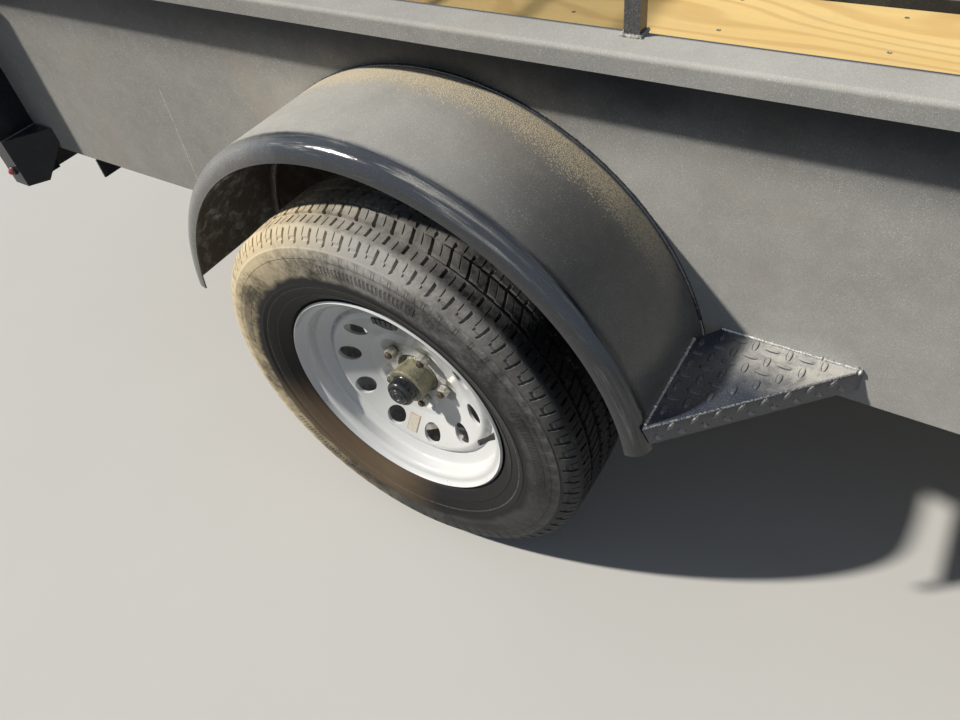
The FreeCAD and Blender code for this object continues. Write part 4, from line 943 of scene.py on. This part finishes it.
def wheel_pieces():
    """Nuts with stud ends, dust cap, valve stem, balance weights and the seal behind the hub."""
    thread = [(0.0064, 0.01)]
    for turn in range(THREADS):
        thread += [(0.0064, 0.0104 + turn * THREAD_PITCH), (0.0057, 0.011 + turn * THREAD_PITCH)]
    thread += [(0.005, 0.0216), (0.0001, 0.0218)]
    for label, side in SIDES:
        body = "wheel_" + label
        place = wheel_place(label, side)
        nuts = Heap()
        studs = Heap()
        for index in range(LUG_COUNT):
            centre = on_wheel(LUG_CIRCLE, LUG_FIRST + index * 360 / LUG_COUNT, LUG_BASE)
            spot = place @ Matrix.Translation(centre)
            nuts.turned(LUG_NUT, 6, spot @ Matrix.Rotation(LUG_TURN * index, 4, "Z"))
            studs.turned(thread, 14, spot)
        made = nuts.piece("lug_nuts_" + label + "_hex", "nut", body, 0.5)
        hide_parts("lug_nuts_" + label)
        studs.piece("stud_ends_" + label, "stud", body)
        made = turned_piece("dust_cap_" + label, "cap", body, DUST_CAP, 56, place)
        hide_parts("hub_cap_" + label)
        root = place @ on_wheel(*VALVE_ROOT)
        along = place @ on_wheel(*VALVE_TIP) - root
        turned_piece("valve_stem_" + label, "plug", body, VALVE, 20, looking(root, along))
        weights = Heap()
        for index in range(WEIGHTS):
            angle = WEIGHT_FIRST + index * WEIGHT_STEP
            start = place @ on_wheel(WEIGHT_RADIUS, angle, WEIGHT_OUT)
            end = place @ on_wheel(WEIGHT_RADIUS, angle + WEIGHT_LONG, WEIGHT_OUT)
            weights.bar(start, end, place.to_3x3() @ Vector((0, 1, 0)), 0.0055, 0.0022)
        weights.piece("wheel_weights_" + label, "plug", body, 0)
        turned_piece("hub_seal_" + label, "plug", body, HUB_SEAL, 40, place)


def disc_out(radius):
    """Outward place of the disc's front face at a radius, from the wheel's middle."""
    share = (radius - DISC_INNER[0]) / (DISC_OUTER[0] - DISC_INNER[0])
    return DISC_INNER[1] + (DISC_OUTER[1] - DISC_INNER[1]) * share + DISC_SHEET


def wheel_stickers():
    """Small blank label on each disc, with a faded orange border."""
    for label, side in SIDES:
        for name, finish, half, angle_half, lift in LABELS:
            points = []
            for row in range(7):
                radius = LABEL_RADIUS + half * (row / 3 - 1)
                for column in range(5):
                    turn = LABEL_ANGLE + angle_half * (column / 2 - 1) * LABEL_RADIUS / radius
                    points.append(on_wheel(radius, turn, disc_out(radius) + lift))
            heap = Heap()
            heap.add(points, grid_faces(7, 5, loop=False), wheel_place(label, side))
            heap.piece("label_" + name + "_" + label, finish, "wheel_" + label, 1)


# Gate mesh

STRAND_LONG = 0.0505
STRAND_SHORT = 0.0234
STRAND_HALF_WIDTH = 0.0019
STRAND_HALF_DEPTH = 0.0012
STRAND_TILT = 0.5


def gate_mesh():
    """Expanded metal: slanted strands between staggered bonds, over the whole opening."""
    low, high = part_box("gate_mesh")
    x = (low.x + high.x) / 2
    columns = int((high.y - low.y) / (STRAND_LONG / 2))
    rows = int((high.z - low.z) / (STRAND_SHORT / 2))
    wide = (high.y - low.y) / columns
    tall = (high.z - low.z) / rows
    lean = (math.sin(STRAND_TILT), 0, math.cos(STRAND_TILT))
    heap = Heap()
    for row in range(rows):
        for column in range(columns):
            ends = (0, 1) if (row + column) % 2 == 0 else (1, 0)
            y = low.y + column * wide
            start, end = ((x, y + step * wide, low.z + (row + rise) * tall) for step, rise in enumerate(ends))
            heap.bar(start, end, lean, STRAND_HALF_WIDTH, STRAND_HALF_DEPTH)
    made = heap.piece("gate_expanded_mesh", "trim", "ramp_gate", 0)
    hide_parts("gate_mesh")


# Tread plate

LOZENGE_PITCH = 0.0225
LOZENGE_FIRST = (0.012, 0.014)
LOZENGE_HALF = 0.0105
LOZENGE_WIDTH = 0.0043
LOZENGE_RISE = 0.0019
LIP_LOZENGE = 0.8
STEP_SHEET = 0.003
STEP_FOLD = 0.0045
STEP_LIP = 0.036
STEP_CORNER = (0.029, 0.037)
STEP_EDGE_MARGIN = 0.011
LIP_MARGIN = 0.007
LIP_END_MARGINS = (0.014, 0.012)
CORNER_CLEAR = 1.35


def lozenge(heap, centre, along, normal, half=LOZENGE_HALF):
    """Raised lens-shaped bar of tread plate."""
    along = along.normalized()
    across = normal.cross(along)
    points = []
    for t in (-1, -0.72, -0.36, 0, 0.36, 0.72, 1):
        bulge = math.sqrt(1 - t * t)
        width = LOZENGE_WIDTH * bulge + 0.0002
        for u, v in ((-1, -0.15), (-0.62, 0.85), (0, 1), (0.62, 0.85), (1, -0.15)):
            points.append(centre + along * (t * half) + across * (u * width)
                          + normal * (v * LOZENGE_RISE * bulge))
    heap.add(points, grid_faces(7, 5, loop=False))


def fender_ahead(z):
    """Where the fender's outer face is at a height, ahead of the axle."""
    return AXLE_X + math.sqrt(FENDER_RADIUS ** 2 - (z - FENDER_CENTRE_Z) ** 2)


def step_plate(heap, start, run, out, side):
    """Folded sheet in rows along its fold, with the corner by the fender and the wall cut off."""
    inward = WALL_Y - STEP_OUTER_Y
    far = STEP_CORNER[0] * out.x + inward * abs(out.y)
    near = (inward + STEP_CORNER[1]) * abs(out.y)
    outline = [(far, 0), (near, 0), (near * 0.5, 0), (-STEP_FOLD, 0)]
    for index in range(1, 7):
        turn = math.radians(15 * index)
        outline.append((STEP_FOLD * (math.sin(turn) - 1), STEP_FOLD * (1 - math.cos(turn))))
    outline += [(0, STEP_LIP * 0.5), (0, STEP_LIP)]
    points = []
    for index, (beyond, drop) in enumerate(outline):
        turn = math.radians(min(90, max(0, 15 * (index - 3))))
        ends = []
        for sheet in (0, STEP_SHEET):
            z = STEP_TOP_Z - drop - sheet * math.cos(turn)
            spot = start + out * (beyond - sheet * math.sin(turn))
            rear = spot + run * ((fender_ahead(z) + 0.0004 - spot.x) / run.x)
            front = spot + run * ((side * (WALL_Y + 0.0002) - spot.y) / run.y)
            if index == 0:
                rear = front.lerp(rear, 0.02)
            ends.append([(rear.x, rear.y, z), (front.x, front.y, z)])
        points += ends[0] + ends[1][::-1]
    faces = closed_faces(len(outline), 4, back=True)
    heap.add(points, [face[::-1] for face in faces] if side > 0 else faces)


def step_tread():
    """Lozenges that lie by turns along and across the trailer, on over the fold to the lip."""
    count = int((STEP_OUTER_Y - WALL_Y + STEP_LIP) / LOZENGE_PITCH) + 4
    for label, side in SIDES:
        start = Vector((STEP_REAR_X, side * STEP_OUTER_Y, 0))
        end = Vector((STEP_TIP_X, side * WALL_Y, 0))
        run = (end - start).normalized()
        out = Vector((-run.y, run.x, 0)) * side
        first, last = LIP_END_MARGINS[0], (end - start).length - LIP_END_MARGINS[1]
        heap = Heap()
        step_plate(heap, start, run, out, side)
        for i in range(count):
            for j in range(count):
                x = LOZENGE_FIRST[0] + i * LOZENGE_PITCH
                y = LOZENGE_FIRST[1] + j * LOZENGE_PITCH
                spot = Vector((STEP_REAR_X + x, side * (WALL_Y + y), 0))
                along = Vector((0, 1, 0)) if (i + j) % 2 else Vector((1, 0, 0))
                beyond = (spot - start).dot(out)
                travel = (spot - start).dot(run)
                if beyond < -STEP_EDGE_MARGIN:
                    corner = x / STEP_CORNER[0] + y / STEP_CORNER[1]
                    if abs(spot.y) <= STEP_OUTER_Y - STEP_EDGE_MARGIN and corner >= CORNER_CLEAR:
                        lozenge(heap, spot + UP * STEP_TOP_Z, along, UP)
                elif LIP_MARGIN < beyond < STEP_LIP - LIP_MARGIN and first < travel < last:
                    centre = start + run * travel + UP * (STEP_TOP_Z - beyond)
                    folded = run * along.dot(run) - UP * along.dot(out)
                    lozenge(heap, centre, folded, out, LOZENGE_HALF * LIP_LOZENGE)
        made = heap.piece("step_" + label + "_plate", "step", "trailer", 0.6)
        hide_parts("step_" + label)


# Welds

RAIL_POSTS = 5
TONGUE_ANGLE = math.radians(25)
TONGUE_HALF = 0.0275
COUPLER_BALL_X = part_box("coupler")[1].x - 0.032
FRONT_WALL_X = DECK_FRONT_X + 0.0055
GATE_CORNER = 0.023


def square_ring(x, y, z, half):
    return [(x + u * half, y + v * half, z) for u, v in CORNERS]


def rail_posts():
    """X and Y of each post that carries the upper rail."""
    places = []
    for label, side in SIDES:
        low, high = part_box("upper_rail_" + label)
        for index in range(RAIL_POSTS):
            x = low.x + RAIL_TUBE / 2 + (high.x - low.x - RAIL_TUBE) * index / (RAIL_POSTS - 1)
            places.append((x, side * (INNER_Y + RAIL_TUBE / 2)))
    return places + [(middle_of(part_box("upper_rail_front")).x, 0)]


def tongue_y(x, offset=0):
    """Distance from the middle of a beam's line at x, offset sideways from it."""
    return (COUPLER_BALL_X - x) * math.tan(TONGUE_ANGLE) + offset / math.cos(TONGUE_ANGLE)


def fender_arc():
    """Line of the bead along the fender's joint with the wall, on the left side."""
    radius = FENDER_RADIUS - 0.0025
    start = math.asin((0.1 - (FENDER_CENTRE_Z - WHEEL_Z)) / FENDER_RADIUS)
    arc = []
    for index in range(121):
        turn = start + (math.pi - 2 * start) * index / 120
        arc.append((AXLE_X + radius * math.cos(turn), WALL_Y + 0.0016,
                    FENDER_CENTRE_Z + radius * math.sin(turn)))
    return arc


def welds():
    """Rippled beads at the rail posts, fenders, steps, lamp guards, front corners, tongue and gate."""
    raw = Heap()
    fine = Heap()
    beads = Heap()
    chips = Heap()
    gate = Heap()
    for number, (x, y) in enumerate(rail_posts()):
        raw.weld(square_ring(x, y, RIM_TOP_Z + 0.0008, RAIL_TUBE / 2 + 0.0012), 0.0032, 0.0042,
                 number, True, 0.3)
        fine.weld(square_ring(x, y, RAIL_TOP_Z - RAIL_TUBE, RAIL_TUBE / 2 + 0.0006), 0.0018, 0.004,
                  40 + number, True)
    guard_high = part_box("lamp_guards")[1]
    step_z = STEP_TOP_Z + 0.0008
    guard_z = guard_high.z + 0.0004
    joint_y = WALL_Y + STEP_CORNER[1]
    joint = [joint_y + (FENDER_OUTER_Y - joint_y - 0.016) * index / 25 for index in range(26)]
    beam_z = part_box("tongue_beam_right")[1].z + 0.0006
    # Heap, line on the left side, radius, pitch, seed and sag, for a bead on each side
    lines = [
        # The fender bead is near-black: a weld that also paints the joint's shade.
        (beads, fender_arc(), 0.0038, 0.006, 3, 0.16),
        (chips, [(STEP_REAR_X + STEP_CORNER[0], WALL_Y + 0.0015, step_z),
                 (STEP_TIP_X - 0.003, WALL_Y + 0.0015, step_z)], 0.0032, 0.0046, 5, 0.4),
        (chips, [(STEP_TIP_X - 0.01, WALL_Y + 0.002, STEP_TOP_Z),
                 (STEP_TIP_X - 0.002, WALL_Y + 0.002, STEP_TOP_Z - 0.003)], 0.0052, 0.005, 15, 0.3),
        (chips, [(STEP_REAR_X + 0.0012, y, step_z) for y in joint], 0.003, 0.0046, 13, 0.5),
        (fine, [(post_high.x + 0.0006, WALL_Y + 0.0005, post_low.z + 0.1),
                (post_high.x + 0.0006, WALL_Y + 0.0005, RIM_TOP_Z - 0.004)], 0.0024, 0.005, 7, 0.16),
        (fine, [(post_high.x + 0.001, post_high.y - 0.002, guard_z),
                (post_high.x + 0.001, WALL_Y + 0.001, guard_z),
                (guard_high.x - 0.002, WALL_Y + 0.001, guard_z)], 0.0019, 0.004, 8, 0.16),
        (fine, [(FRONT_WALL_X + WALL_SHEET + 0.0005, WALL_Y - 0.0025, z)
                for z in (PANEL_BOTTOM_Z, RIM_TOP_Z - 0.03)], 0.0024, 0.005, 9, 0.16),
    ]
    for offset in (-TONGUE_HALF, TONGUE_HALF):
        path = [(x, tongue_y(x, offset), beam_z) for x in (FRONT_WALL_X - 0.055, FRONT_WALL_X)]
        lines.append((fine, path, 0.003, 0.005, 11, 0.16))
    for heap, path, radius, pitch, seed, sag in lines:
        for side in (-1, 1):
            heap.weld([(x, side * y, z) for x, y, z in path], radius, pitch, seed, sag=sag)
    low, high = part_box("gate_frame")
    mesh_low, mesh_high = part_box("gate_mesh")
    for x in (low.x - 0.0002, high.x + 0.0002):
        for y, y_out in ((mesh_low.y, -GATE_CORNER), (mesh_high.y, GATE_CORNER)):
            for z, z_out in ((mesh_low.z, -GATE_CORNER), (mesh_high.z, GATE_CORNER)):
                gate.weld([(x, y, z), (x, y + y_out, z + z_out)], 0.0018, 0.004, 17)
    raw.piece("rail_post_welds", "raw_weld", "trailer", 1.2)
    fine.piece("body_welds", "weld", "trailer", 1.2)
    beads.piece("fender_welds", "bead", "trailer", 1.2)
    chips.piece("step_welds", "chrome_weld", "trailer", 1.2)
    gate.piece("gate_welds", "weld", "ramp_gate", 1.2)


# Fasteners and small fittings

CROSSMEMBERS = 7
CROSSMEMBER_HALF = 0.0255
SCREWS_ACROSS = 7
SCREWS_WIDTH = 1.12
DECK_SCREW = ((0.0052, 0), (0.0056, 0.0008), (0.0048, 0.0013), (0.0024, 0.0012), (0.0018, 0.0004),
              (0.0002, 0.0004))
BOLT = (0.0105, 0.008)
SPRING_HALF_WIDTH = 0.0225
SPRING_EYE = 0.015
SPRING_HALF = 0.3205
SPRING_ARCH = 0.06
CLIP_HALF = (0.013, 0.0018)
CENTRE_NUT = ((0.008, 0), (0.008, 0.006), (0.007, 0.0075), (0.002, 0.0075))
JACK_X = COUPLER_BALL_X - 0.36
LAMP_WIDTH = 0.062
LAMP_RIBS = 9
LAMP_SCREW = ((0.0036, 0), (0.0036, 0.0008), (0.0026, 0.0012), (0.0008, 0.0008))
# Share of the marker's radius, height
MARKER_BASE = ((1, 0), (1, 0.0035), (0.9, 0.005), (0.78, 0.005))
MARKER_LENS = ((0.8, 0.003), (0.8, 0.0065), (0.74, 0.0085), (0.66, 0.0082), (0.58, 0.0108), (0.48, 0.0106),
               (0.38, 0.0126), (0.26, 0.0124), (0.14, 0.0136), (0.01, 0.0138))
MARKER_FACE = 0.014
GRIP_LENGTH = 0.1005


def deck_screws():
    """Screws over each crossmember and at both ends of the deck, a little out of line."""
    heap = Heap()
    chance = random.Random(21)
    low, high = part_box("crossmembers")
    apart = (high.x - low.x - 2 * CROSSMEMBER_HALF) / (CROSSMEMBERS - 1)
    lines = [low.x + CROSSMEMBER_HALF + apart * index for index in range(CROSSMEMBERS)]
    for x in lines + [deck_low.x + 0.03, DECK_FRONT_X - 0.03]:
        for index in range(SCREWS_ACROSS):
            y = SCREWS_WIDTH * (index / (SCREWS_ACROSS - 1) - 0.5) + chance.uniform(-0.006, 0.006)
            place = looking((x + chance.uniform(-0.004, 0.004), y, deck_high.z - 0.0004), UP)
            heap.turned(DECK_SCREW, 12, place)
    heap.piece("deck_screws", "screw", "trailer", 0.6)


def spring_clip_z(along):
    """Middle height of the leaf pack a distance from the axle."""
    bow = (SPRING_HALF ** 2 + SPRING_ARCH ** 2) / (2 * SPRING_ARCH)
    return WHEEL_Z - 0.0485 + bow - math.sqrt(bow ** 2 - along ** 2)


def under_bolts():
    """Nuts of the spring bolts and centre bolts, spring clips, and bolts of the jack plate and coupler."""
    nuts = Heap()
    bolts = Heap()
    low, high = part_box("leaf_springs")
    clamp_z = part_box("axle_clamps")[0].z
    coupler_low, coupler_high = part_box("coupler")
    plate_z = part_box("tongue_beam_right")[1].z + 0.01
    for side in (-1, 1):
        y = side * (high.y - SPRING_HALF_WIDTH)
        for face in (-1, 1):
            for x in (high.x - SPRING_EYE, low.x + SPRING_EYE):
                bolt_head(nuts, (x, y + face * 0.031, high.z - SPRING_EYE), (0, face, 0), *BOLT)
            for along in (-0.15, 0.15):
                x = AXLE_X + along
                z = spring_clip_z(along)
                out = y + face * 0.0245
                level = z + face * 0.0165
                nuts.bar((x, out, z - 0.016), (x, out, z + 0.016), (1, 0, 0), *CLIP_HALF)
                nuts.bar((x, y - 0.026, level), (x, y + 0.026, level), (1, 0, 0), *CLIP_HALF)
        nuts.turned(CENTRE_NUT, 6, looking((AXLE_X, y, clamp_z + 0.022), -UP))
        for x in (JACK_X - 0.052, JACK_X + 0.06):
            bolt_head(bolts, (x, side * tongue_y(x, -0.008), plate_z), UP, *BOLT)
        turn = (math.sin(TONGUE_ANGLE), side * math.cos(TONGUE_ANGLE), 0)
        for x in (COUPLER_BALL_X - 0.235, COUPLER_BALL_X - 0.165):
            bolt_head(bolts, (x, side * tongue_y(x, 0.0322), coupler_low.z + 0.018), turn, *BOLT)
        bolt_head(bolts, (COUPLER_BALL_X - 0.074, side * 0.0095, coupler_high.z + 0.001), (0, side, 0),
                  0.0065, 0.004, False)
    nuts.piece("spring_nuts_and_clips", "zinc", "trailer", 0.5)
    bolts.piece("tongue_bolts", "zinc", "trailer", 0.5)


def rounded_box(half_y, half_z, corner):
    """Outline of a rectangle with rounded corners, as (y, z) pairs."""
    outline = []
    for quarter, (sy, sz) in enumerate(((1, 1), (-1, 1), (-1, -1), (1, -1))):
        for step in range(7):
            turn = math.radians(90 * quarter + 15 * step)
            outline.append((sy * (half_y - corner) + corner * math.cos(turn),
                            sz * (half_z - corner) + corner * math.sin(turn)))
    return outline


def loft(heap, outline, rings, at):
    """Rearward skin through copies of an outline: (scale, depth)."""
    points = [(at[0] - depth, at[1] + y * scale, at[2] + z * scale)
              for scale, depth in rings for y, z in outline]
    heap.add(points, closed_faces(len(rings), len(outline), back=True))


def lamps():
    """Ribbed tail lamp lenses in black bases, and round side markers in rubber rings."""
    low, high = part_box("tail_lamps")
    middle_z = (low.z + high.z) / 2
    rib_x = high.x - 0.0257
    outline = rounded_box(LAMP_WIDTH / 2, (high.z - low.z) / 2, 0.008)
    rings = [(0.94 - 0.03 * (index / 8) ** 2, 0.008 + index * 0.002) for index in range(9)]
    rings += [(0.88, 0.0252), (0.8, 0.0259), (0.01, 0.026)]
    bases = Heap()
    lenses = Heap()
    screws = Heap()
    for side in (-1, 1):
        y = side * (abs(low.y) - LAMP_WIDTH / 2)
        loft(bases, outline, [(1, 0), (1, 0.007), (0.97, 0.009)], (high.x, y, middle_z))
        loft(lenses, outline, rings, (high.x, y, middle_z))
        for index in range(LAMP_RIBS):
            z = middle_z - 0.044 + index * 0.011
            lenses.bar((rib_x, y - 0.024, z), (rib_x, y + 0.024, z), UP, 0.0035, 0.0003)
        for rise in (-0.05, 0.05):
            screws.turned(LAMP_SCREW, 12, looking((high.x - 0.025, y, middle_z + rise), (-1, 0, 0)))
    made = lenses.piece("tail_lamp_lenses", "red", "trailer", 0.5)
    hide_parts("tail_lamps")
    screws.piece("lamp_screws", "screw", "trailer", 0.5)
    for node, finish, slot in (("rear_markers", "red", "lamp_red"), ("front_markers", "amber", "lamp_amber")):
        low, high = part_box(node)
        radius = (high.z - low.z) / 2
        domes = Heap()
        for side in (-1, 1):
            face = high.y - MARKER_FACE if side > 0 else low.y + MARKER_FACE
            place = looking(((low.x + high.x) / 2, face, (low.z + high.z) / 2), (0, side, 0))
            for heap, profile in ((bases, MARKER_BASE), (domes, MARKER_LENS)):
                heap.turned([(radius * share, height) for share, height in profile], 32, place)
        made = domes.piece(node + "_lens", finish, "trailer", 0.7)
        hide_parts(node)
    bases.piece("lamp_bases", "plug", "trailer", 0.5)


def crank_grip():
    """Ringed grip on the jack's crank."""
    low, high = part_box("jack_crank")
    profile = [(0.01, 0)]
    for index in range(9):
        foot = index * 0.01
        profile += [(0.0128, foot + 0.002), (0.0128, foot + 0.008), (0.0116, foot + 0.0095)]
    profile += [(0.012, 0.096), (0.009, 0.1), (0.0005, GRIP_LENGTH)]
    place = looking(((low.x + high.x) / 2, high.y - 0.011, high.z - GRIP_LENGTH), UP)
    turned_piece("crank_grip", "grip", "trailer", profile, 28, place)


def floor():
    """Pale floor that throws little light back up at the trailer."""
    bpy.ops.mesh.primitive_plane_add(size=40, location=(0, 0, 0))
    plane = bpy.context.object
    plane.name = "floor"
    f = Finish("floor", (0.1, 0.1, 0.098))
    seen = f.most(f.put("LightPath", {}, "Is Camera Ray"), f.put("LightPath", {}, "Is Glossy Ray"))
    f.over(seen, f.mix(f.noise(3), (0.66, 0.655, 0.64), (0.63, 0.625, 0.61)))
    plane.data.materials.append(f.done(0.85))


camera()
lights()
dress_nodes()
tyres()
rims()
wheel_pieces()
wheel_stickers()
gate_mesh()
step_tread()
welds()
deck_screws()
under_bolts()
lamps()
crank_grip()
floor()
